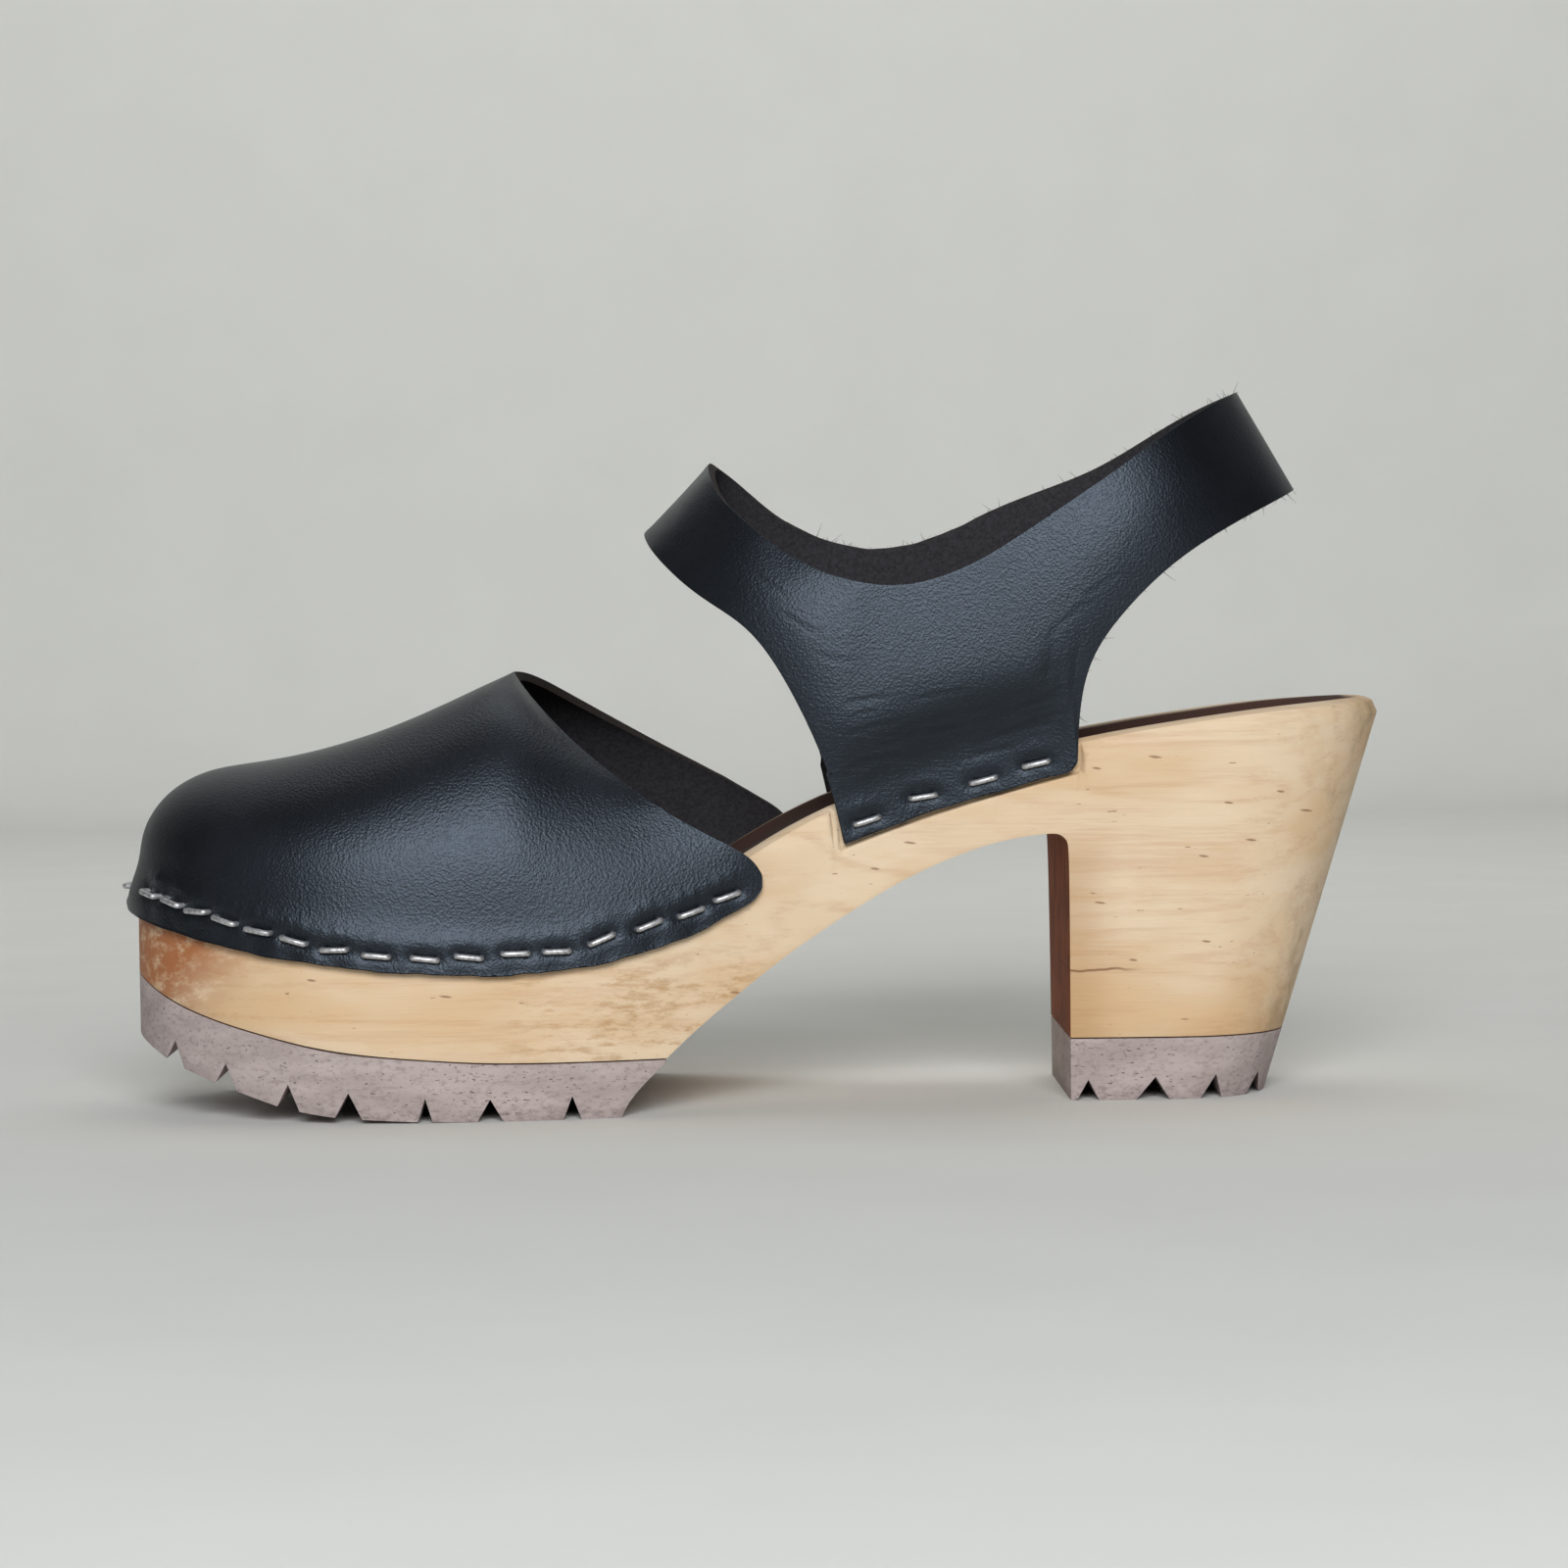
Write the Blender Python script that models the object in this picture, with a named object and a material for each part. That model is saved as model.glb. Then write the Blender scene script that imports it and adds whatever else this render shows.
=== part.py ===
"""Heeled clog: a wooden base with rubber treads, a stapled leather vamp and a leather ankle strap.

The toe points along -X and the heel along +X. The inner side of the foot is at -Y, up is +Z.
Pieces are laid out from the toe and then moved so that the origin is under the middle of the shoe.
"""

import math
from collections import namedtuple

import bmesh
import bpy
from mathutils import Matrix, Vector

MM = 0.001
INNER, OUTER = -1, 1

# Wooden base, seen from above
SOLE_LENGTH = 251.5 * MM
BALL_WIDTH = 88 * MM
WAIST_WIDTH = 60 * MM
SEAT_WIDTH = 62 * MM
TOE_CAP_LENGTH = 56 * MM
TOE_CAP_POWER = 2.1
BACK_CAP_LENGTH = 33 * MM
BACK_CAP_POWER = 2.2

# Wooden base, seen from the side
SEAT_HEIGHT = 79.5 * MM
BALL_THICKNESS = 26 * MM
WAIST_THICKNESS = 18.3 * MM
TOE_SPRING = 17 * MM
TOE_RIM_RISE = 10.5 * MM
HEEL_LENGTH = 65 * MM
HEEL_BACK_LEAN = math.radians(17.4)
HEEL_SIDE_LEAN = math.radians(4.4)
BREAST_FILLET = 3.2 * MM
RIM_CHAMFER = 3.4 * MM
RIM_BREAK = 0.3 * RIM_CHAMFER
RIM_WIDTH = 6.5 * MM
DISH_DEPTH = 4.5 * MM

# Rubber treads
TREAD_THICKNESS = 11.2 * MM
HEEL_TREAD_THICKNESS = 12.6 * MM
TREAD_LENGTH = 106.5 * MM
TREAD_BACK_SLOPE = 9 * MM
TREAD_BACK_RISE = 0.35 * TREAD_THICKNESS
TREAD_BACK_ROUND = 0.2 * TREAD_BACK_SLOPE
NOTCH_DEPTH = 4.6 * MM
NOTCH_WIDTH = 4.4 * MM

# Leather vamp
VAMP_WALL = 1.6 * MM
VAMP_RISE = 49.5 * MM
VAMP_CREST = 76.5 * MM
VAMP_CREST_FOOT = 72 * MM
VAMP_OVERLAP = 8.8 * MM
VAMP_RIDGE_START = 24 * MM
VAMP_STEP_IN = 1.2 * MM
TOE_STEP_IN = 1.2 * MM
TOE_STEP_RISE = 1.5 * MM
VAMP_ROUNDNESS = 2.22
VAMP_STEPS = 8
VAMP_EVEN_SHARE = 0.05
VAMP_WALL_SHARE = 0.7
VAMP_START_SHARE = 0.25
VAMP_LEAST_CURVE = 0.15
WING_GAP = 17.1 * MM
OUTER_WING_EXTRA = 8 * MM
WING_ROUND = 3.4 * MM
WING_ROUND_CLEAR = 1.7 * MM
WING_MIDDLE = 0.4
OUTER_THROAT_LIFT = 6.5 * MM
RIDGE_SIDE = -7 * MM

# Leather ankle strap
STRAP_WALL = 2 * MM
STRAP_RISE = 64 * MM
STRAP_HALF_WIDTH = 33 * MM
PANEL_BULGE = 1.2 * MM
PANEL_HOLD = 16 * MM
STRAP_STEPS = 9
OUTER_STRAP_LIFT = 8 * MM
OUTER_LIFT_OUT = 0.7
OUTER_LIFT_UP = 0.4
OUTER_LIFT_FADE = 0.67 * SOLE_LENGTH
OUTER_LIFT_END = 0.82 * SOLE_LENGTH
REBATE_DEPTH = 1.2 * MM
REBATE_MARGIN = 0.6 * MM

# Wire staples
STAPLE_LENGTH = 4.9 * MM
STAPLE_WIRE = 1.1 * MM
STAPLE_MARGIN = 4.3 * MM

# Spacing of the sections along the middle of the sole
STATION_STEP = 7 * MM
STATION_CLEAR = 0.35 * STATION_STEP
LAST_STATION_STEP = 1.3 * STATION_STEP

# Gaps between pieces that touch
FIT = 0.3 * MM
LEATHER_FIT = 0.45 * MM

Plan = namedtuple("Plan", "along width swing")
PLAN = (
    Plan(0.00, 0.90 * BALL_WIDTH, -0.065 * BALL_WIDTH),
    Plan(0.12, 0.95 * BALL_WIDTH, -0.055 * BALL_WIDTH),
    Plan(0.22, 0.985 * BALL_WIDTH, -0.03 * BALL_WIDTH),
    Plan(0.30, 1.00 * BALL_WIDTH, -0.01 * BALL_WIDTH),
    Plan(0.38, 0.975 * BALL_WIDTH, 0.01 * BALL_WIDTH),
    Plan(0.46, 0.86 * BALL_WIDTH, 0.02 * BALL_WIDTH),
    Plan(0.56, 1.07 * WAIST_WIDTH, 0.03 * WAIST_WIDTH),
    Plan(0.66, 1.00 * WAIST_WIDTH, 0.02 * WAIST_WIDTH),
    Plan(0.76, 0.98 * SEAT_WIDTH, 0.005 * SEAT_WIDTH),
    Plan(0.86, 1.00 * SEAT_WIDTH, 0.0),
    Plan(1.00, 1.00 * SEAT_WIDTH, 0.0),
)

# Rise of the rim from the ball to the seat, and its lift at the toe
Rim = namedtuple("Rim", "along rise lift")
RIM = (
    Rim(0.00, 0.0, 1.0),
    Rim(0.10, 0.0, 0.56),
    Rim(0.20, 0.0, 0.2),
    Rim(0.30, 0.0, 0.0),
    Rim(0.36, 0.01, 0.0),
    Rim(0.40, 0.05, 0.0),
    Rim(0.44, 0.145, 0.0),
    Rim(0.485, 0.30, 0.0),
    Rim(0.516, 0.415, 0.0),
    Rim(0.56, 0.54, 0.0),
    Rim(0.65, 0.70, 0.0),
    Rim(0.753, 0.833, 0.0),
    Rim(0.826, 0.905, 0.0),
    Rim(0.90, 0.96, 0.0),
    Rim(1.00, 1.0, 0.0),
)

# Footbed from its rim to its middle
Footbed = namedtuple("Footbed", "inset drop")
FOOTBED = (
    Footbed(0.52, 0.0),
    Footbed(1.0, 0.1),
    Footbed(1.5, 0.55),
    Footbed(2.3, 0.9),
    Footbed(3.4, 1.0),
)

# Toe spring under the wood and under the tread
Spring = namedtuple("Spring", "along wood tread")
SPRING = (
    Spring(0.00, 1.0, 0.93),
    Spring(0.015, 0.865, 0.80),
    Spring(0.032, 0.735, 0.67),
    Spring(0.058, 0.58, 0.52),
    Spring(0.088, 0.45, 0.37),
    Spring(0.119, 0.33, 0.215),
    Spring(0.158, 0.195, 0.095),
    Spring(0.20, 0.11, 0.04),
    Spring(0.24, 0.06, 0.01),
    Spring(0.28, 0.015, 0.0),
    Spring(0.32, 0.0, 0.0),
)

# Underside of the arch, from the back of the forefoot tread to the heel
Arch = namedtuple("Arch", "along rise")
ARCH = (
    Arch(0.0, 0.0),
    Arch(0.08, 0.134),
    Arch(0.18, 0.277),
    Arch(0.287, 0.425),
    Arch(0.366, 0.523),
    Arch(0.428, 0.592),
    Arch(0.522, 0.697),
    Arch(0.612, 0.79),
    Arch(0.70, 0.862),
    Arch(0.79, 0.925),
    Arch(0.88, 0.972),
    Arch(1.0, 1.0),
)

# Grooves across the treads: place, depth and width of each
Notch = namedtuple("Notch", "along depth width")
FOREFOOT_NOTCHES = (
    Notch(0.038, 1.0, 0.9),
    Notch(0.081, 1.0, 1.0),
    Notch(0.131, 1.05, 1.0),
    Notch(0.178, 1.1, 1.2),
    Notch(0.237, 1.0, 0.65),
    Notch(0.287, 0.95, 1.15),
    Notch(0.35, 1.0, 0.8),
)
HEEL_NOTCHES = (
    Notch(0.052, 0.9, 1.0),
    Notch(0.25, 1.0, 1.5),
    Notch(0.43, 1.05, 1.0),
    Notch(0.57, 1.0, 0.7),
)

# Ridge of the vamp from the toe box to its crest
Ridge = namedtuple("Ridge", "run up")
RIDGE = (
    Ridge(0.0, 0.640),
    Ridge(0.18, 0.669),
    Ridge(0.31, 0.699),
    Ridge(0.44, 0.741),
    Ridge(0.59, 0.799),
    Ridge(0.75, 0.875),
    Ridge(0.88, 0.943),
    Ridge(1.0, 1.0),
)

# Throat edge of the vamp from its crest to the tip of its wing
Throat = namedtuple("Throat", "run along up lean")
THROAT = (
    Throat(0.0, 0.0, 1.0, 1.0),
    Throat(0.12, 0.035, 0.95, 0.84),
    Throat(0.22, 0.10, 0.877, 0.68),
    Throat(0.34, 0.21, 0.758, 0.50),
    Throat(0.48, 0.37, 0.608, 0.34),
    Throat(0.64, 0.56, 0.42, 0.18),
    Throat(0.82, 0.77, 0.20, 0.05),
    Throat(0.93, 0.92, 0.03, 0.0),
    Throat(1.0, 1.0, -0.06, 0.0),
)

# Lower edge of the vamp on the wood, as shares of its overlap below the rim
Hem = namedtuple("Hem", "along drop")
VAMP_HEM = (
    Hem(0.00, 0.83),
    Hem(0.04, 0.98),
    Hem(0.11, 1.075),
    Hem(0.20, 1.085),
    Hem(0.30, 1.0),
    Hem(0.36, 0.9),
    Hem(0.40, 0.86),
    Hem(0.44, 0.95),
    Hem(0.47, 1.02),
    Hem(0.50, 1.12),
)

# Stations of the strap from the front of the instep band, along the side, to the back of the heel
# band: its low and high edge, along the sole, out to the side and up from the rim
Strap = namedtuple("Strap", "low_along low_out low_up high_along high_out high_up")
STRAP = (
    Strap(0.408, 0.00, 1.165, 0.462, 0.00, 1.262),
    Strap(0.413, 0.30, 1.112, 0.463, 0.30, 1.24),
    Strap(0.422, 0.47, 1.052, 0.468, 0.50, 1.165),
    Strap(0.442, 0.66, 0.935, 0.483, 0.66, 1.065),
    Strap(0.465, 0.81, 0.82, 0.502, 0.79, 0.95),
    Strap(0.485, 0.90, 0.722, 0.52, 0.87, 0.85),
    Strap(0.505, 0.96, 0.59, 0.537, 0.93, 0.78),
    Strap(0.527, 1.00, 0.39, 0.553, 0.97, 0.72),
    Strap(0.545, 1.01, 0.20, 0.566, 0.99, 0.685),
    Strap(0.5585, 1.01, 0.03, 0.577, 1.00, 0.66),
    Strap(0.567, 1.01, -0.135, 0.588, 1.00, 0.638),
    Strap(0.60, 1.01, -0.125, 0.602, 1.00, 0.615),
    Strap(0.64, 1.01, -0.118, 0.62, 1.00, 0.598),
    Strap(0.68, 1.01, -0.112, 0.638, 1.00, 0.595),
    Strap(0.72, 1.01, -0.105, 0.657, 1.00, 0.602),
    Strap(0.748, 1.01, -0.098, 0.677, 1.00, 0.62),
    Strap(0.749, 1.01, 0.06, 0.70, 1.00, 0.655),
    Strap(0.754, 1.01, 0.19, 0.726, 1.00, 0.70),
    Strap(0.767, 1.01, 0.29, 0.755, 1.00, 0.753),
    Strap(0.795, 1.01, 0.40, 0.783, 0.98, 0.805),
    Strap(0.826, 0.98, 0.49, 0.811, 0.91, 0.866),
    Strap(0.86, 0.88, 0.555, 0.837, 0.78, 0.917),
    Strap(0.896, 0.68, 0.61, 0.862, 0.58, 0.96),
    Strap(0.926, 0.40, 0.655, 0.884, 0.32, 0.988),
    Strap(0.939, 0.00, 0.675, 0.892, 0.00, 0.995),
)

# Staples as shares of the way to the wing's tip or along the panel's foot, their height above the
# hem as a share of the staple margin, and the turn of each in degrees from the line of the hem
Staple = namedtuple("Staple", "along up tilt")
TOE_STAPLE_UP = 1.0
VAMP_STAPLES = (
    Staple(0.049, 1.35, 0),
    Staple(0.088, 1.37, -4),
    Staple(0.129, 1.30, 8),
    Staple(0.174, 1.21, -5),
    Staple(0.226, 1.07, 0),
    Staple(0.281, 0.93, -6),
    Staple(0.342, 0.79, 8),
    Staple(0.405, 0.72, 0),
    Staple(0.479, 0.72, -3),
    Staple(0.546, 0.86, -5),
    Staple(0.617, 1.00, -2),
    Staple(0.680, 0.91, -6),
    Staple(0.748, 1.12, 12),
    Staple(0.820, 1.21, 5),
    Staple(0.885, 1.05, -5),
    Staple(0.942, 0.91, -9),
)
PANEL_STAPLES = (
    Staple(0.083, 0.72, -4),
    Staple(0.33, 0.86, -10),
    Staple(0.593, 0.72, -2),
    Staple(0.822, 0.79, -2),
)


def curve_value(rows, key, column, at):
    """Value of one column of a table at a place along it, on a smooth curve through the rows."""
    xs = [getattr(row, key) for row in rows]
    ys = [getattr(row, column) for row in rows]
    if at <= xs[0]:
        return ys[0]
    if at >= xs[-1]:
        return ys[-1]
    i = max(k for k in range(len(xs) - 1) if xs[k] <= at)

    def slope(k):
        lo, hi = max(k - 1, 0), min(k + 1, len(xs) - 1)
        return (ys[hi] - ys[lo]) / (xs[hi] - xs[lo])

    span = xs[i + 1] - xs[i]
    t = (at - xs[i]) / span
    start = ys[i] * (1 + 2 * t) * (1 - t) ** 2 + slope(i) * span * t * (1 - t) ** 2
    end = ys[i + 1] * (3 - 2 * t) * t ** 2 - slope(i + 1) * span * t ** 2 * (1 - t)
    return start + end


def mix(a, b, t):
    return a + (b - a) * t


def ramp(x, low, high):
    """0 below low, 1 above high, and a smooth rise between."""
    t = min(max((x - low) / (high - low), 0.0), 1.0)
    return t * t * (3 - 2 * t)


def breast_x():
    return SOLE_LENGTH - HEEL_LENGTH


def ball_rim_z():
    return TREAD_THICKNESS + BALL_THICKNESS


def rim_z(x):
    """Height of the rim of the footbed."""
    share = x / SOLE_LENGTH
    rise = curve_value(RIM, "along", "rise", share) * (SEAT_HEIGHT - ball_rim_z())
    lift = curve_value(RIM, "along", "lift", share) * TOE_RIM_RISE
    return ball_rim_z() + rise + lift


def arch_top_z():
    return rim_z(breast_x()) - WAIST_THICKNESS


def under_z(x):
    """Height of the underside of the wood, down to where the heel block starts."""
    if x <= TREAD_LENGTH:
        return TREAD_THICKNESS + TOE_SPRING * curve_value(SPRING, "along", "wood", x / SOLE_LENGTH)
    arch_span = breast_x() - BREAST_FILLET - TREAD_LENGTH
    share = (x - TREAD_LENGTH) / arch_span
    if share <= 1:
        rise = curve_value(ARCH, "along", "rise", share)
        return mix(TREAD_THICKNESS, arch_top_z(), rise)
    in_fillet = min(x - (breast_x() - BREAST_FILLET), BREAST_FILLET)
    return arch_top_z() - BREAST_FILLET + math.sqrt(max(BREAST_FILLET ** 2 - in_fillet ** 2, 0))


def cap_share(distance, length, power):
    """Share of the full width at a distance from a rounded end of the outline."""
    if distance >= length:
        return 1.0
    return (1 - (1 - max(distance, 0) / length) ** power) ** (1 / power)


def outline_y(x, side):
    """Edge of the footbed, seen from above."""
    share = x / SOLE_LENGTH
    half = curve_value(PLAN, "along", "width", share) / 2
    toe = cap_share(x, TOE_CAP_LENGTH, TOE_CAP_POWER)
    back = cap_share(SOLE_LENGTH - x, BACK_CAP_LENGTH, BACK_CAP_POWER)
    return curve_value(PLAN, "along", "swing", share) + side * half * toe * back


def wall_point(x, side, z, out=0.0):
    """Point on the side wall of the base at height z, moved outward by a distance."""
    drop = max(SEAT_HEIGHT - RIM_CHAMFER - z, 0)
    step = 0.05 * MM
    before, after = outline_y(x - step, side), outline_y(x + step, side)
    normal = Vector((-(after - before) * side, 2 * step * side, 0)).normalized()
    y = outline_y(x, side)
    behind = max(x - breast_x(), 0)
    along = x - behind * drop * math.tan(HEEL_BACK_LEAN) / HEEL_LENGTH
    narrow = ramp(x, TREAD_LENGTH, breast_x()) * drop * math.tan(HEEL_SIDE_LEAN) / (SEAT_WIDTH / 2)
    return Vector((along, y * (1 - narrow), z)) + normal * out


def round_stations(length, degrees):
    return [length * (1 - math.cos(math.radians(a))) for a in degrees]


def base_stations():
    """Places along the sole where its sections are taken, close together at both ends."""
    toe = round_stations(TOE_CAP_LENGTH, (4, 10, 17, 24, 32, 40, 48, 56, 64, 72, 81, 90))
    back_angles = (5, 14, 24, 35, 46, 57, 68, 79, 90)
    back = [SOLE_LENGTH - d for d in round_stations(BACK_CAP_LENGTH, back_angles)]
    fillet_start = breast_x() - BREAST_FILLET
    fillet = [fillet_start + BREAST_FILLET * math.sin(math.radians(a)) for a in (0, 30, 60, 90)]
    marks = [TREAD_LENGTH, *fillet, *rebate_ends(), *rebate_ends(at_foot=True)[:2]]
    middle = []
    x = toe[-1]
    while x < back[-1] - LAST_STATION_STEP:
        x += STATION_STEP
        if all(abs(x - mark) > STATION_CLEAR for mark in marks):
            middle.append(x)
    return sorted(toe + middle + marks + back)


def loft_loops(bm, loops):
    """Rows of vertices for closed loops, joined each to the next with quads."""
    rows = [[bm.verts.new(point) for point in loop] for loop in loops]
    for lower, upper in zip(rows, rows[1:]):
        count = len(lower)
        for i in range(count):
            j = (i + 1) % count
            bm.faces.new((lower[i], lower[j], upper[j], upper[i]))
    return rows


def ladder(bm, row, flip):
    """Close a loop of paired inner and outer side vertices with faces across."""
    half = len(row) // 2
    faces = []
    for i in range(half - 1):
        corners = [row[i], row[i + 1], row[-2 - i], row[-1 - i]]
        faces.append(bm.faces.new(corners[::-1] if flip else corners))
    return faces


def loop_around(stations, point):
    """Points of a closed loop: back along the outer side and forward along the inner side."""
    outer = [point(x, OUTER) for x in stations]
    inner = [point(x, INNER) for x in reversed(stations)]
    return outer + inner


def panel_rows():
    """Rows of the strap whose low edge lies on the wood, from the panel's front to its back."""
    return [row for row in STRAP if row.low_up < 0]


def rebate_ends(at_foot=False):
    """Front and back ends of the rebate routed for the strap's panel, each with its step."""
    foot = panel_rows()[0]
    rim = STRAP[STRAP.index(foot) - 1]
    behind = STRAP[STRAP.index(panel_rows()[-1]) + 1]
    back = behind.low_along * SOLE_LENGTH + REBATE_MARGIN
    if at_foot:
        front = foot.low_along * SOLE_LENGTH - 2 * REBATE_MARGIN
    else:
        front = rim.low_along * SOLE_LENGTH - REBATE_MARGIN
    return front - REBATE_MARGIN, front, back, back + REBATE_MARGIN


def rebate_depth(x, at_foot=False):
    before, front, rising, back = rebate_ends(at_foot)
    return REBATE_DEPTH * min(ramp(x, before, front), 1 - ramp(x, rising, back))


def rebate_drop(x):
    """Depth of the foot of the rebate below the rim."""
    panel_front, panel_back = panel_rows()[0], panel_rows()[-1]
    front_drop = -panel_front.low_up * STRAP_RISE
    back_drop = -panel_back.low_up * STRAP_RISE
    front_x = panel_front.low_along * SOLE_LENGTH
    back_x = panel_back.low_along * SOLE_LENGTH
    t = min(max((x - front_x) / (back_x - front_x), 0.0), 1.0)
    return mix(front_drop, back_drop, t) + REBATE_MARGIN


def base_loop(stations, height, inset):
    """Loop of the base whose height and inset are functions of the place along it."""
    return loop_around(stations, lambda x, side: wall_point(x, side, height(x), -inset(x)))


def build_base():
    """Wooden base in one piece: footbed, side, arch and heel block."""
    stations = base_stations()
    half_step = REBATE_MARGIN / 2

    def flush(x):
        return 0.0

    def foot_depth(x):
        return rebate_depth(x, at_foot=True)

    def below_rim(drop):
        return lambda x: rim_z(x) - drop

    def rounded_in(x):
        return max(RIM_BREAK, rebate_depth(x))

    loops = [
        base_loop(stations, under_z, flush),
        base_loop(stations, lambda x: rim_z(x) - rebate_drop(x) - half_step, flush),
        base_loop(stations, lambda x: rim_z(x) - rebate_drop(x) + half_step, foot_depth),
        base_loop(stations, below_rim(RIM_CHAMFER), rebate_depth),
        base_loop(stations, below_rim(RIM_BREAK), rounded_in),
    ]
    for row in FOOTBED:
        inset = row.inset * RIM_WIDTH
        loops.append(base_loop(stations, below_rim(row.drop * DISH_DEPTH), lambda x: inset))
    bm = bmesh.new()
    rows = loft_loops(bm, loops)
    ladder(bm, rows[-1], flip=False)
    under = ladder(bm, rows[0], flip=True)
    first_heel = stations.index(breast_x())
    extrude_heel(bm, under[first_heel:])
    return bm


def extrude_heel(bm, faces):
    """Draw the seat's underside down into a heel block that leans in to its tread."""
    made = bmesh.ops.extrude_face_region(bm, geom=faces)
    moved = [item for item in made["geom"] if isinstance(item, bmesh.types.BMVert)]
    bmesh.ops.delete(bm, geom=faces, context="FACES")
    heel_start = under_z(breast_x())
    drop_now = SEAT_HEIGHT - RIM_CHAMFER - heel_start
    drop_then = SEAT_HEIGHT - RIM_CHAMFER - HEEL_TREAD_THICKNESS
    back, side = math.tan(HEEL_BACK_LEAN) / HEEL_LENGTH, math.tan(HEEL_SIDE_LEAN) / (SEAT_WIDTH / 2)
    for vert in moved:
        behind = vert.co.x - breast_x()
        vert.co.x = breast_x() + behind * (1 - drop_then * back) / (1 - drop_now * back)
        vert.co.y *= (1 - drop_then * side) / (1 - drop_now * side)
        vert.co.z = HEEL_TREAD_THICKNESS


def tread_profile(notches, start, length, floor):
    """Places and heights along the bottom of a tread, with its notches cut in."""
    profile = []
    for notch in notches:
        middle = start + notch.along * length
        half = notch.width * NOTCH_WIDTH / 2
        profile.append((middle - half, floor(middle - half)))
        profile.append((middle, floor(middle) + notch.depth * NOTCH_DEPTH))
        profile.append((middle + half, floor(middle + half)))
    return profile


def build_tread(profile, top, point):
    """Tread lofted from rectangles: a profile below, a top line, and the base's wall at each side."""
    bm = bmesh.new()
    sections = []
    for x, bottom in profile:
        below = [point(x, side, bottom) for side in (INNER, OUTER)]
        above = [point(x, side, top(x)) for side in (OUTER, INNER)]
        sections.append([bm.verts.new(corner) for corner in below + above])
    for here, there in zip(sections, sections[1:]):
        for i in range(4):
            j = (i + 1) % 4
            bm.faces.new((here[i], there[i], there[j], here[j]))
    bm.faces.new(sections[0])
    bm.faces.new(sections[-1][::-1])
    return bm


def with_plain_stations(profile, stations, floor):
    """Add the plain stations that don't come close to a notch."""
    spans = list(zip(profile[::3], profile[2::3]))
    for x in stations:
        if all(not first[0] - MM < x < last[0] + MM for first, last in spans):
            profile.append((x, floor(x)))
    return sorted(profile)


def forefoot_floor(x):
    """Height of the forefoot tread's bottom, flat on the ground behind the toe spring."""
    return max(TOE_SPRING * curve_value(SPRING, "along", "tread", x / SOLE_LENGTH), 0.0)


def build_forefoot_tread():
    back = TREAD_LENGTH - TREAD_BACK_SLOPE
    profile = tread_profile(FOREFOOT_NOTCHES, 0.0, SOLE_LENGTH, forefoot_floor)
    plain = [x for x in base_stations() if x < back - 2 * MM]
    profile = with_plain_stations(profile, plain, forefoot_floor)
    slope = [(back, 0.0), (back + TREAD_BACK_ROUND, TREAD_BACK_RISE)]
    slope.append((TREAD_LENGTH - FIT, TREAD_THICKNESS - 3 * FIT))
    return build_tread(profile + slope, lambda x: under_z(x) - FIT, wall_point)


def build_heel_tread():
    def place(x):
        """Station of the base that comes down to x on the floor."""
        lean = (SEAT_HEIGHT - RIM_CHAMFER) * math.tan(HEEL_BACK_LEAN) / HEEL_LENGTH
        return breast_x() + (x - breast_x()) / (1 - lean)

    def floor(x):
        return 0.0

    notches = tread_profile(HEEL_NOTCHES, breast_x(), HEEL_LENGTH, floor)
    notches = [(place(x), z) for x, z in notches]
    plain = [x for x in base_stations() if x >= breast_x()]
    profile = with_plain_stations(notches, plain, floor)
    return build_tread(profile, lambda x: HEEL_TREAD_THICKNESS - FIT, wall_point)


def vamp_hem_z(x):
    return rim_z(x) - VAMP_OVERLAP * curve_value(VAMP_HEM, "along", "drop", x / SOLE_LENGTH)


def ridge_point(run):
    """Point on the ridge of the vamp, from the toe box at 0 to the crest at 1."""
    x = mix(VAMP_RIDGE_START, VAMP_CREST, run)
    toe_side = curve_value(PLAN, "along", "swing", 0.0)
    up = curve_value(RIDGE, "run", "up", run)
    return Vector((x, mix(toe_side, RIDGE_SIDE, run), ball_rim_z() + up * VAMP_RISE))


def wing_tip(side):
    """Place of the tip of the vamp's wing, a gap ahead of the strap's panel."""
    panel_front = panel_rows()[0].low_along * SOLE_LENGTH
    return panel_front - WING_GAP + (OUTER_WING_EXTRA if side == OUTER else 0)


def throat_point(run, side):
    """Point on the throat edge of the vamp, from the crest at 0 to the tip of the wing at 1."""
    x = mix(VAMP_CREST, wing_tip(side), curve_value(THROAT, "run", "along", run))
    z = rim_z(x) + curve_value(THROAT, "run", "up", run) * VAMP_RISE
    if side == OUTER:
        z += OUTER_THROAT_LIFT * math.sin(math.pi * run)
    lean = curve_value(THROAT, "run", "lean", run)
    on_wall = wall_point(x, side, z, LEATHER_FIT + VAMP_WALL)
    return Vector((x, mix(on_wall.y, RIDGE_SIDE, lean), z))


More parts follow.
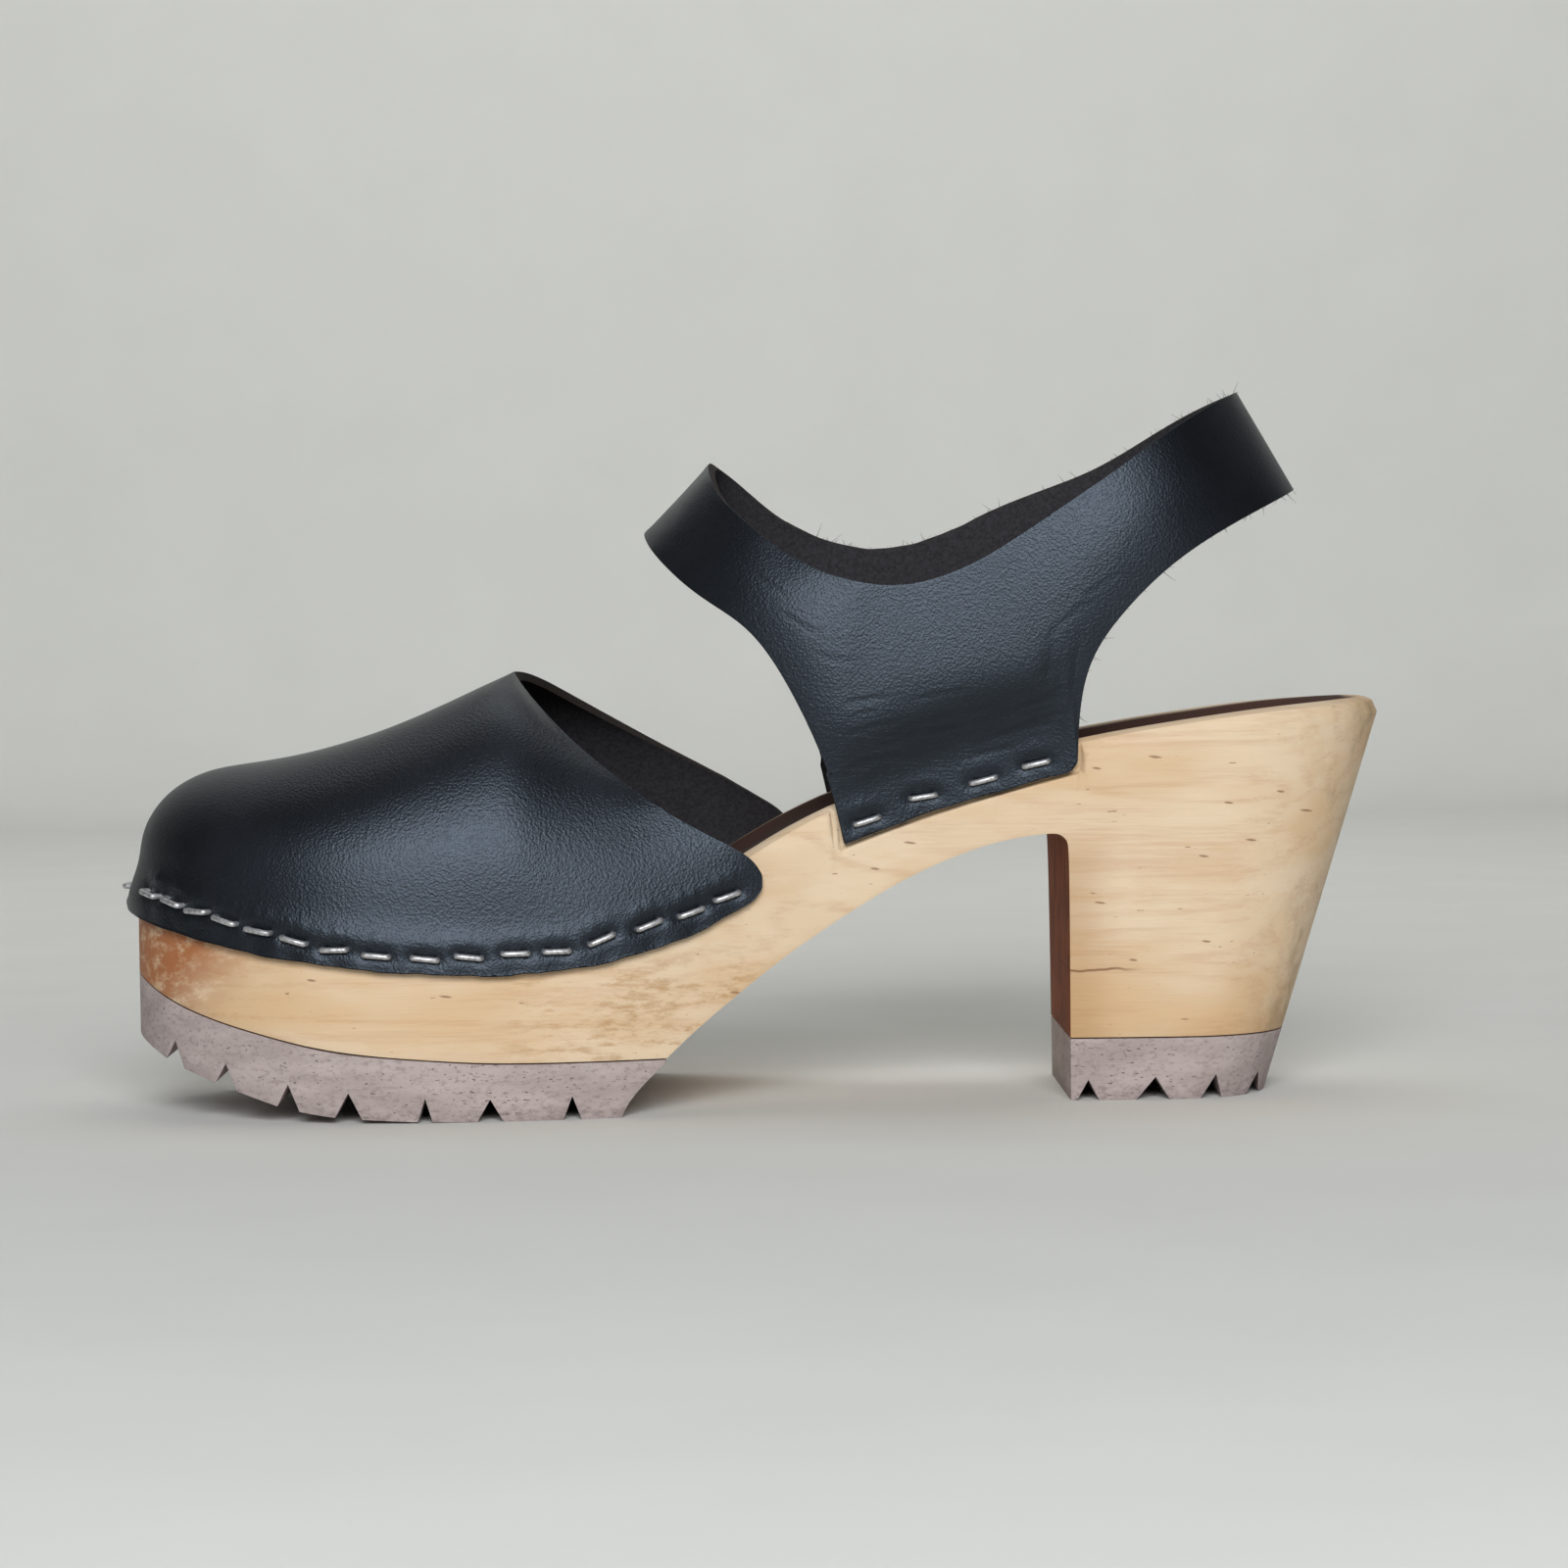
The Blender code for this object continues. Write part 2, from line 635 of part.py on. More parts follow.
def vamp_column(x, side, top, lean):
    """Points up one column of the vamp, along the wood and then over the foot to its top."""
    out = LEATHER_FIT + VAMP_WALL
    low = vamp_hem_z(x)
    hug = min(rim_z(x) - RIM_CHAMFER, mix(low, top.z, VAMP_WALL_SHARE))
    points = [wall_point(x, side, mix(low, hug, share), out) for share in (0.0, 0.5, 1.0)]
    at_toe = 1 - ramp(x, 0, TOE_CAP_LENGTH / 3)
    start = wall_point(x, side, hug, out - VAMP_STEP_IN * lean - TOE_STEP_IN * at_toe)
    start.z = min(hug + RIM_CHAMFER + TOE_STEP_RISE * at_toe, mix(hug, top.z, VAMP_START_SHARE))
    for step in range(VAMP_STEPS):
        angle = math.radians(90) * step / VAMP_STEPS
        across = 1 - math.cos(angle) ** (2 / VAMP_ROUNDNESS)
        up = math.sin(angle) ** (2 / VAMP_ROUNDNESS)
        curved = Vector((mix(start.x, top.x, across), mix(start.y, top.y, across), mix(start.z, top.z, up)))
        straight = start.lerp(top, step / VAMP_STEPS)
        points.append(straight.lerp(curved, min(1, VAMP_LEAST_CURVE + lean)))
    return points + [top]


def round_tip(column, into):
    """Draw a column in toward its middle by its share of the way round the tip of the wing."""
    middle = mix(column[0].z, column[-1].z, WING_MIDDLE)
    for point in column:
        point.x = min(point.x, column[0].x)
        point.z = mix(middle, point.z, math.sqrt(1 - into ** 2))
    return column


def vamp_side(side):
    """Columns of one side of the vamp from the toe to the tip of its wing."""
    into_tip = (0.0, 0.55, 0.9)
    round_start = wing_tip(side) - WING_ROUND
    stations = [x for x in base_stations() if x < round_start - WING_ROUND_CLEAR]
    stations += [round_start + into * WING_ROUND for into in into_tip]
    lengths = [0.0]
    for a, b in zip(stations, stations[1:]):
        step = wall_point(b, side, 0.0) - wall_point(a, side, 0.0)
        lengths.append(lengths[-1] + step.length)
    crest = min(range(len(stations)), key=lambda i: abs(stations[i] - VAMP_CREST_FOOT))
    columns = []
    for i, x in enumerate(stations):
        if i <= crest:
            run = mix(x / stations[crest], (i + 1) / (crest + 1), VAMP_EVEN_SHARE)
            columns.append(vamp_column(x, side, ridge_point(run), 1.0))
            continue
        run = (lengths[i] - lengths[crest]) / (lengths[-1] - lengths[crest])
        lean = curve_value(THROAT, "run", "lean", run)
        columns.append(vamp_column(x, side, throat_point(run, side), lean))
    rounded = [round_tip(column, into) for column, into in zip(columns[-len(into_tip):], into_tip)]
    return columns[:-len(into_tip)] + rounded


def build_vamp():
    """Outer face of the vamp: two sides joined along the front of the toe and along the ridge."""
    first = base_stations()[0]
    front_pair = [vamp_column(first, side, ridge_point(0), 1.0) for side in (INNER, OUTER)]
    front = [(a + b) / 2 for a, b in zip(*front_pair)]
    columns = vamp_side(INNER)[::-1] + [front] + vamp_side(OUTER)
    bm = bmesh.new()
    grid = [[bm.verts.new(point) for point in column] for column in columns]
    for left, right in zip(grid, grid[1:]):
        for k in range(len(left) - 1):
            bm.faces.new((left[k], left[k + 1], right[k + 1], right[k]))
    bmesh.ops.remove_doubles(bm, verts=bm.verts, dist=0.01 * MM)
    return bm


def strap_lift(x, out, up, side):
    """Extra height of the strap on the outer side, fading out onto the wood and behind the heel."""
    if side == INNER:
        return 0.0
    ahead = 1 - ramp(x, OUTER_LIFT_FADE, OUTER_LIFT_END)
    return OUTER_STRAP_LIFT * ramp(out, 0.0, OUTER_LIFT_OUT) * ramp(up, 0.0, OUTER_LIFT_UP) * ahead


def strap_column(row, side):
    """Points up one column of the strap, seated on the wood where it comes below the rim."""
    low_x, high_x = row.low_along * SOLE_LENGTH, row.high_along * SOLE_LENGTH
    low_z = rim_z(low_x) + row.low_up * STRAP_RISE + strap_lift(low_x, row.low_out, row.low_up, side)
    high_z = rim_z(high_x) + row.high_up * STRAP_RISE + strap_lift(high_x, row.high_out, row.high_up, side)
    low = Vector((low_x, side * row.low_out * STRAP_HALF_WIDTH, low_z))
    high = Vector((high_x, side * row.high_out * STRAP_HALF_WIDTH, high_z))
    out = LEATHER_FIT + STRAP_WALL - REBATE_DEPTH
    points = []
    for k in range(STRAP_STEPS + 1):
        share = k / STRAP_STEPS
        point = low.lerp(high, share)
        point.y += side * PANEL_BULGE * math.sin(math.pi * share) * row.low_out
        seat = wall_point(point.x, side, min(point.z, rim_z(point.x) - RIM_CHAMFER), out)
        hold = 1 - ramp(point.z - rim_z(point.x), 0, PANEL_HOLD)
        point.y = mix(point.y, seat.y, hold)
        points.append(point)
    return points


def build_strap():
    """Outer face of the strap: one closed band around the ankle with a panel down each side."""
    inner = [strap_column(row, INNER) for row in STRAP]
    outer = [strap_column(row, OUTER) for row in STRAP[1:-1]]
    columns = inner + outer[::-1]
    bm = bmesh.new()
    grid = [[bm.verts.new(point) for point in column] for column in columns]
    for i, left in enumerate(grid):
        right = grid[(i + 1) % len(grid)]
        for k in range(STRAP_STEPS):
            bm.faces.new((left[k], right[k], right[k + 1], left[k + 1]))
    return bm


def build_staple(middle, along, out):
    """Crown of a wire staple lying along a direction, just clear of the leather."""
    bm = bmesh.new()
    radius = STAPLE_WIRE / 2
    bmesh.ops.create_cone(
        bm, cap_ends=True, segments=8, radius1=radius, radius2=radius, depth=STAPLE_LENGTH
    )
    across = out.cross(along).normalized()
    turn = Matrix((across, out, along)).transposed().to_4x4()
    place = Matrix.Translation(middle + out * (radius + FIT))
    bmesh.ops.transform(bm, matrix=place @ turn, verts=bm.verts)
    return bm


def staple_on_wall(x, side, hem, leather_out, row):
    """Staple on leather that lies on the base's wall, turned a little from the line of the hem."""
    up = row.up * STAPLE_MARGIN
    middle = wall_point(x, side, hem(x) + up, leather_out)
    half = STAPLE_LENGTH / 2
    start = max(x - half, MM / 2)
    ahead = wall_point(x + half, side, hem(x + half) + up, leather_out)
    behind = wall_point(start, side, hem(start) + up, leather_out)
    along = (ahead - behind).normalized()
    out = Vector((along.y, -along.x, 0)).normalized() * -side
    turn = Matrix.Rotation(math.radians(row.tilt), 3, out)
    return build_staple(middle, turn @ along, out)


def vamp_staples():
    """Staples along both sides of the vamp's hem and one at the front of the toe."""
    out = LEATHER_FIT + VAMP_WALL
    staples = []
    for side in (INNER, OUTER):
        for row in VAMP_STAPLES:
            staples.append(staple_on_wall(row.along * wing_tip(side), side, vamp_hem_z, out, row))
    front_z = vamp_hem_z(0.0) + TOE_STAPLE_UP * STAPLE_MARGIN
    edge = base_stations()[0]
    front = (wall_point(edge, INNER, front_z) + wall_point(edge, OUTER, front_z)) / 2
    front.x = -out
    staples.append(build_staple(front, Vector((0, 1, 0)), Vector((-1, 0, 0))))
    return staples


def panel_staples():
    """Staples along the foot of the strap's panel on both sides."""
    front, back = panel_rows()[0], panel_rows()[-1]
    first, last = front.low_along * SOLE_LENGTH, back.low_along * SOLE_LENGTH

    def foot(x):
        return rim_z(x) + mix(front.low_up, back.low_up, (x - first) / (last - first)) * STRAP_RISE

    out = LEATHER_FIT + STRAP_WALL - REBATE_DEPTH
    staples = []
    for side in (INNER, OUTER):
        for row in PANEL_STAPLES:
            staples.append(staple_on_wall(mix(first, last, row.along), side, foot, out, row))
    return staples


def material(name, colour, roughness, metallic=0.0):
    made = bpy.data.materials.new(name)
    made.use_nodes = True
    shader = made.node_tree.nodes["Principled BSDF"]
    shader.inputs["Base Color"].default_value = (*colour, 1.0)
    shader.inputs["Roughness"].default_value = roughness
    shader.inputs["Metallic"].default_value = metallic
    made.diffuse_color = (*colour, 1.0)
    return made


def add_object(name, bm, finish, wall=0.0):
    """Put a finished shape in the scene; a sheet gets its wall on its inner face."""
    mesh = bpy.data.meshes.new(name)
    if not wall:
        bmesh.ops.recalc_face_normals(bm, faces=bm.faces)
    bm.to_mesh(mesh)
    bm.free()
    mesh.shade_smooth()
    mesh.set_sharp_from_angle(angle=math.radians(40))
    mesh.materials.append(finish)
    made = bpy.data.objects.new(name, mesh)
    bpy.context.scene.collection.objects.link(made)
    if wall:
        sheet = made.modifiers.new("Wall", "SOLIDIFY")
        sheet.thickness = wall
        sheet.offset = -1
        sheet.use_even_offset = True
    return made


def move_to_origin(objects):
    """Move the shapes so that the origin is under the middle of the shoe's box."""
    bpy.context.view_layer.update()
    reach = bpy.context.evaluated_depsgraph_get()
    points = [v.co for o in objects for v in o.evaluated_get(reach).to_mesh().vertices]
    low = Vector([min(p[k] for p in points) for k in range(3)])
    high = Vector([max(p[k] for p in points) for k in range(3)])
    shift = Vector((-(low.x + high.x) / 2, -(low.y + high.y) / 2, 0))
    for item in objects:
        item.data.transform(Matrix.Translation(shift))


def main():
    for item in list(bpy.data.objects):
        bpy.data.objects.remove(item, do_unlink=True)
    wood = material("wood", (0.72, 0.50, 0.30), 0.55)
    rubber = material("rubber", (0.36, 0.29, 0.28), 0.8)
    leather = material("leather", (0.012, 0.012, 0.014), 0.45)
    wire = material("wire", (0.6, 0.6, 0.62), 0.3, 1.0)
    shoe = [
        add_object("clog_base", build_base(), wood),
        add_object("forefoot_tread", build_forefoot_tread(), rubber),
        add_object("heel_tread", build_heel_tread(), rubber),
        add_object("vamp", build_vamp(), leather, VAMP_WALL),
        add_object("ankle_strap", build_strap(), leather, STRAP_WALL),
    ]
    for kind, staples in (("vamp_staple", vamp_staples()), ("strap_staple", panel_staples())):
        for number, bm in enumerate(staples, 1):
            shoe.append(add_object(f"{kind}_{number:02d}", bm, wire))
    move_to_origin(shoe)


main()
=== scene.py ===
import math

import bmesh
import bpy
import numpy as np
from mathutils import Matrix, Vector
from mathutils.kdtree import KDTree


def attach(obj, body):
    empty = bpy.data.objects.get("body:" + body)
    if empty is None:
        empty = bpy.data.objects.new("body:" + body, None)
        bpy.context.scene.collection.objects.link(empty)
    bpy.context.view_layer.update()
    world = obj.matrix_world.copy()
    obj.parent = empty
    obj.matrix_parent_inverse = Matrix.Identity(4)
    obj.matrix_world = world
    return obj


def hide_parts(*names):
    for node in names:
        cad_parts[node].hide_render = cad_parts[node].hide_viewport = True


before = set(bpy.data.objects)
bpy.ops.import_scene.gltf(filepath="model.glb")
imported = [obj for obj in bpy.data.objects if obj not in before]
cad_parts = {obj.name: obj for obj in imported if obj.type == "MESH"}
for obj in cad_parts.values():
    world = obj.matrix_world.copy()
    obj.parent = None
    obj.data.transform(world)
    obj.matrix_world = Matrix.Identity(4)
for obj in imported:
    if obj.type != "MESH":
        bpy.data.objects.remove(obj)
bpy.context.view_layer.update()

mm = 0.001
print("frame loaded")

# photograph's angle: the camera stands off the inner side, a little above the rim
camera = {
    "distance": 900 * mm, "height": 98 * mm, "along": -7.4 * mm, "focalPixels": 4520,
    "framePixels": 1600, "sensor": 36, "yaw": 0.9, "pitch": 2.23, "roll": 0.85,
}
lights = {
    "window": {"place": (0.0, -1.5, 0.72), "size": (0.8, 0.66), "power": 22, "tint": (0.97, 0.985, 1.0)},
    "side": {"place": (-1.3, -0.5, 0.7), "size": (0.5, 0.7), "power": 0.4, "tint": (1.0, 0.97, 0.92)},
    "ceiling": {"place": (0.1, 0.35, 1.3), "size": (1.2, 0.7), "power": 3.2, "tint": (1.0, 0.98, 0.95)},
    "wash": {
        "place": (0.0, 0.4, 1.0), "size": (1.8, 0.3), "power": 4.7, "tint": (1.0, 0.99, 0.96),
        "aim": (0, 1.4, 0.35),
    },
}
stage = {"half": 3.0, "front": -2.5, "wallAt": 1.3, "sweep": 0.12, "wallTop": 2.2, "world": 0.05}


# shader maths: an expression on wires adds its Math nodes
class Wire:
    def __init__(self, finish, socket):
        self.finish = finish
        self.socket = socket

    def math(self, operation, *others):
        values = dict(enumerate((self, *others)))
        return self.finish.add("ShaderNodeMath", {"operation": operation}, values)

    def __add__(self, other):
        return self.math("ADD", other)

    def __radd__(self, other):
        return self.math("ADD", other)

    def __sub__(self, other):
        return self.math("SUBTRACT", other)

    def __rsub__(self, other):
        return self.math("MULTIPLY", -1.0).math("ADD", other)

    def __mul__(self, other):
        return self.math("MULTIPLY", other)

    def __rmul__(self, other):
        return self.math("MULTIPLY", other)

    def __truediv__(self, other):
        return self.math("DIVIDE", other)

    def between(self, low, high):
        # 0 below low and 1 above high, smooth between
        settings = {"interpolation_type": "SMOOTHSTEP"}
        return self.finish.add("ShaderNodeMapRange", settings, {0: self, 1: low, 2: high})


class Finish:
    def __init__(self, name, **constants):
        self.material = bpy.data.materials.new(name)
        self.material.use_nodes = True
        self.tree = self.material.node_tree
        self.shader = self.tree.nodes["Principled BSDF"]
        for socket, value in constants.items():
            self.shader.inputs[socket.replace("_", " ")].default_value = value

    def add(self, kind, settings=None, values=None, output=0):
        node = self.tree.nodes.new(kind)
        for key, value in (settings or {}).items():
            setattr(node, key, value)
        for key, value in (values or {}).items():
            if isinstance(value, Wire):
                self.tree.links.new(value.socket, node.inputs[key])
            else:
                node.inputs[key].default_value = value
        return Wire(self, node.outputs[output])

    def place(self, stretch=(1, 1, 1)):
        # object coordinates in millimetres, stretched
        coords = self.add("ShaderNodeTexCoord", output="Object")
        scale = tuple(1000 * s for s in stretch)
        return self.add("ShaderNodeMapping", {}, {"Vector": coords, "Scale": scale})

    def noise(self, where, scale=1.0, detail=4.0, rough=0.5, warp=0.0):
        values = {"Vector": where, "Scale": scale, "Detail": detail, "Roughness": rough, "Distortion": warp}
        return self.add("ShaderNodeTexNoise", {}, values)

    def cells(self, where, scale, feature="F1"):
        values = {"Vector": where, "Scale": scale}
        return self.add("ShaderNodeTexVoronoi", {"feature": feature}, values)

    def axes(self):
        split = self.tree.nodes.new("ShaderNodeSeparateXYZ")
        self.tree.links.new(self.place().socket, split.inputs[0])
        return [Wire(self, split.outputs[k]) for k in range(3)]

    def facing(self):
        split = self.tree.nodes.new("ShaderNodeSeparateXYZ")
        normal = self.add("ShaderNodeNewGeometry", output="True Normal")
        self.tree.links.new(normal.socket, split.inputs[0])
        return [Wire(self, split.outputs[k]) for k in range(3)]

    def attribute(self, name):
        return self.add("ShaderNodeAttribute", {"attribute_name": name}, output="Fac")

    def blend(self, share, first, second):
        def colour(value):
            return value if isinstance(value, Wire) else (*value, 1)
        settings = {"data_type": "RGBA", "blend_type": "MIX"}
        values = {0: share, 6: colour(first), 7: colour(second)}
        return self.add("ShaderNodeMix", settings, values, output=2)

    def set(self, socket, wire):
        self.tree.links.new(wire.socket, self.shader.inputs[socket])

    def bump(self, height, distance, strength=1.0):
        values = {"Height": height, "Distance": distance, "Strength": strength}
        self.set("Normal", self.add("ShaderNodeBump", {}, values))


def srgb(red, green, blue):
    # a colour read on the 0-255 scale, as linear light
    shares = (red / 255, green / 255, blue / 255)
    return tuple(c / 12.92 if c < 0.0405 else ((c + 0.055) / 1.055) ** 2.4 for c in shares)


woodLook = {
    "pale": srgb(231, 208, 178), "honey": srgb(218, 184, 142), "streak": srgb(186, 132, 86),
    "fleck": srgb(122, 72, 36), "stain": srgb(104, 55, 35), "footbed": srgb(48, 38, 34),
    "toeStain": srgb(170, 96, 44), "grime": srgb(172, 124, 66), "dirt": srgb(146, 118, 78),
    "breast": srgb(150, 84, 50), "dirtFrom": 90, "crackHeight": 26.0, "crackFrom": 62, "crackTo": 78,
}


# small dark flecks on the inner side: along, up and half length in millimetres
flecks = (
    (79.5, 68.3, 1.3), (68.0, 66.2, 0.9), (104.5, 61.0, 0.8), (94.0, 59.0, 0.9), (98.5, 51.5, 1.1),
    (89.0, 48.5, 1.0), (89.5, 31.5, 0.9), (68.5, 39.5, 1.1), (110.0, 57.0, 1.3), (75.0, 28.0, 0.8),
    (31.0, 52.0, 1.2), (24.0, 47.0, 0.9), (-4.0, 23.5, 1.0), (-60.0, 24.5, 1.2), (-86.0, 28.0, 0.9),
)


def woodMaterial():
    f = Finish("wood", Roughness=0.5, Specular_IOR_Level=0.35)
    x, y, z = f.axes()
    facingX = f.facing()[0]
    figure = f.noise(f.place((0.006, 0.05, 0.06)), 1.0, 2.0, 0.4, 0.6)
    rings = (figure * 46.0).math("SINE") * 0.5 + 0.5
    grain = f.noise(f.place((0.035, 0.9, 1.5)), 1.0, 6.0, 0.62, 0.1)
    fine = f.noise(f.place((0.16, 4.0, 6.0)), 1.0, 4.0, 0.6)
    blotch = f.noise(f.place((0.013, 0.03, 0.034)), 1.0, 3.0, 0.55)
    tone = grain * 0.5 + rings * 0.18 + fine * 0.2
    ground = f.blend(blotch.between(0.38, 0.66), woodLook["pale"], woodLook["honey"])
    mottled = f.noise(f.place((0.05, 0.16, 0.2)), 1.0, 5.0, 0.62).between(0.44, 0.66)
    patched = f.blend(mottled * 0.4, ground, woodLook["honey"])
    streaked = f.blend(tone.between(0.40, 0.70) * 0.36, patched, woodLook["streak"])
    spots = f.noise(f.place((0.28, 1.6, 1.9)), 1.0, 2.0, 0.5).between(0.73, 0.78)
    for along, up, half in flecks:
        offLong = (x - along) / half
        offTall = (z - up + (x - along) * 0.12) / 0.24
        spots = spots.math("MAXIMUM", 1 - (offLong * offLong + offTall * offTall).between(0.2, 1.6))
    speckled = f.blend(spots * 0.68, streaked, woodLook["fleck"])
    # warm stain at the toe and grime in the grain behind the ball
    reach = (-98.0 - x + (z - 24) * 0.9).between(0, 24)
    toe = reach * f.noise(f.place((0.17, 0.2, 0.36)), 1.0, 6.0, 0.7).between(0.3, 0.56)
    ball = (1 - (x + 22).math("ABSOLUTE").between(14, 36)) * (1 - (z - 20).math("ABSOLUTE").between(6, 14))
    grime = ball * f.noise(f.place((0.07, 0.3, 0.34)), 1.0, 6.0, 0.72).between(0.47, 0.66)
    handled = x.between(60, 62.5) * (1 - x.between(63, 74)) * (1 - z.between(46, 56))
    toned = f.blend(handled.math("MAXIMUM", grime * 1.5) * 0.4, speckled, woodLook["grime"])
    stained = f.blend(toe * 0.9, toned, woodLook["toeStain"])
    back = (x - z * 0.3 - woodLook["dirtFrom"]).between(0, 16)
    soil = f.noise(f.place((0.09, 0.09, 0.07)), 1.0, 5.0, 0.65).between(0.48, 0.7)
    soiled = f.blend(back * soil * 0.7, stained, woodLook["dirt"])
    # drying crack that runs back from the breast edge
    wander = f.noise(f.place((0.12, 0.0, 0.0)), 1.0, 2.0) * 2.2
    offLine = (z - woodLook["crackHeight"] - wander + 1.1).math("ABSOLUTE")
    begun = x.between(woodLook["crackFrom"] - 2, woodLook["crackFrom"])
    ended = x.between(woodLook["crackTo"] - 8, woodLook["crackTo"])
    crack = (1 - offLine.between(0.08, 0.32)) * (begun * (1 - ended)) * (0 - y).between(0, 2)
    cracked = f.blend(crack * 0.75, soiled, woodLook["fleck"])
    # the breast is stained dark, and the footbed inside the rim is drawn dark brown
    nearBreast = x.between(40, 52) * (1 - x.between(64, 68)) * (1 - z.between(54, 56))
    underHeel = (0 - facingX).between(0.25, 0.6) * nearBreast
    scratches = f.noise(f.place((0.6, 0.5, 0.12)), 1.0, 6.0, 0.72).between(0.4, 0.62)
    breast = f.blend(scratches, woodLook["breast"], woodLook["stain"])
    darkened = f.blend(underHeel, cracked, breast)
    # footbed: a dark brown mask inside the rim, mottled between two browns
    bed = f.attribute("footbed")
    bedMottle = f.noise(f.place((0.03, 0.05, 0.05)), 1.0, 4.0) * 0.5
    bedTone = f.blend(bedMottle, woodLook["footbed"], woodLook["stain"])
    colour = f.blend(bed, darkened, bedTone)
    f.set("Base Color", colour)
    rough = 0.46 + grain * 0.16 + back * 0.08
    f.set("Roughness", rough.math("MAXIMUM", underHeel.math("MAXIMUM", bed) * 0.92))
    height = grain * 0.5 + fine * 0.35 - spots * 0.15 - crack * 1.5
    f.bump(height, 0.00022, 0.55)
    return f.material


rubberLook = {
    "body": srgb(170, 156, 153), "light": srgb(188, 174, 171),
    "dark": srgb(128, 113, 110), "pit": srgb(84, 71, 69),
}


def rubberMaterial():
    f = Finish("rubber", Roughness=0.78, Specular_IOR_Level=0.3)
    z = f.axes()[2]
    mottle = f.noise(f.place((0.08, 0.1, 0.25)), 1.0, 5.0, 0.6)
    body = f.blend(mottle.between(0.35, 0.68), rubberLook["body"], rubberLook["light"])
    crumbs = f.noise(f.place((0.7, 0.9, 1.3)), 1.0, 3.0, 0.6)
    speckled = f.blend(crumbs.between(0.5, 0.68) * 0.42, body, rubberLook["dark"])
    strata = f.noise(f.place((0.03, 0.05, 0.9)), 1.0, 3.0, 0.55).between(0.46, 0.66)
    pitNoise = f.noise(f.place((0.9, 1.5, 2.6)), 1.0, 2.0, 0.5)
    pits = (pitNoise + strata * 0.07).between(0.70, 0.75)
    pitted = f.blend(pits * 0.7, speckled, rubberLook["pit"])
    foot = (1 - z.between(0, 5)) * crumbs.between(0.35, 0.6)
    colour = f.blend(foot * 0.4, pitted, rubberLook["dark"])
    f.set("Base Color", colour)
    f.set("Roughness", 0.7 + mottle * 0.2)
    rubbed = f.noise(f.place((0.25, 0.6, 2.6)), 1.0, 4.0, 0.6)
    f.bump(rubbed * 0.3 + crumbs * 0.4 - pits * 1.6, 0.0003, 0.7)
    return f.material


leatherLook = {
    "black": srgb(11, 12, 15), "rubbed": srgb(19, 20, 25),
    "edge": srgb(52, 46, 42), "inside": srgb(58, 56, 60),
}


def leatherMaterial():
    f = Finish("leather", Roughness=0.4, Specular_IOR_Level=0.6, Specular_Tint=(0.68, 0.82, 1.0, 1.0))
    x, _, z = f.axes()
    pebbles = f.cells(f.place(), 2.1, "SMOOTH_F1")
    pores = f.noise(f.place(), 4.0, 3.0, 0.6)
    cloud = f.noise(f.place(), 0.045, 4.0, 0.55)
    wrinkles = f.noise(f.place((0.14, 0.2, 1.3)), 1.0, 4.0, 0.62, 0.5)
    inPanel = x.between(8, 20) * (1 - z.between(74, 92))
    folded = f.noise(f.place((0.05, 0.05, 0.07)), 1.0, 2.0).between(0.44, 0.6) * inPanel
    colour = f.blend(cloud.between(0.42, 0.72), leatherLook["black"], leatherLook["rubbed"])
    f.set("Base Color", colour)
    f.set("Roughness", 0.31 + cloud * 0.08 + pores * 0.1)
    f.bump(pebbles * 0.6 + pores * 0.35 + wrinkles * folded * 1.1, 0.00016, 0.85)
    return f.material


def plainLeather(name, colour, rough, grain):
    # flesh side and cut edges: matt, with loose fibres
    f = Finish(name, Roughness=rough, Specular_IOR_Level=0.25)
    fibres = f.noise(f.place((1.2, 1.2, 1.2)), grain, 5.0, 0.65, 0.5)
    dark = tuple(c * 0.55 for c in colour)
    f.set("Base Color", f.blend(fibres.between(0.35, 0.65), dark, colour))
    f.bump(fibres, 0.0003, 0.7)
    return f.material


def wireMaterial():
    f = Finish("wire", Metallic=0.85, Roughness=0.28)
    dull = f.noise(f.place(), 1.4, 3.0)
    f.set("Base Color", f.blend(dull.between(0.35, 0.7), srgb(214, 214, 216), srgb(168, 168, 170)))
    f.set("Roughness", 0.38 + dull * 0.2)
    return f.material


def floorMaterial():
    f = Finish("studioFloor", Roughness=0.85, Specular_IOR_Level=0.2)
    f.set("Base Color", f.blend(f.noise(f.place(), 0.02, 3.0), srgb(224, 225, 221), srgb(231, 232, 229)))
    return f.material


looks = {
    "wood": woodMaterial(), "rubber": rubberMaterial(), "leather": leatherMaterial(), "wire": wireMaterial(),
    "edge": plainLeather("cutEdge", leatherLook["edge"], 0.9, 1.6),
    "inside": plainLeather("fleshSide", leatherLook["inside"], 0.85, 1.0),
    "floor": floorMaterial(),
}
print("materials made")


def mergedCopy(nodeName):
    # a node's triangles with shared corners, joined back to quads
    bm = bmesh.new()
    bm.from_mesh(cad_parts[nodeName].data)
    bmesh.ops.remove_doubles(bm, verts=bm.verts, dist=1e-6)
    bmesh.ops.join_triangles(
        bm, faces=bm.faces, angle_face_threshold=math.radians(35), angle_shape_threshold=math.radians(60)
    )
    return bm


def creaseEdges(bm, degrees):
    layer = bm.edges.layers.float.get("crease_edge") or bm.edges.layers.float.new("crease_edge")
    sharp = []
    for edge in bm.edges:
        if len(edge.link_faces) == 2 and edge.calc_face_angle(0) > math.radians(degrees):
            edge[layer] = 1.0
            sharp.append(edge)
    return sharp


def baked(obj):
    # the piece with its modifiers made real
    view = bpy.context.evaluated_depsgraph_get()
    view.update()
    mesh = bpy.data.meshes.new_from_object(obj.evaluated_get(view))
    obj.modifiers.clear()
    obj.data = mesh
    return obj


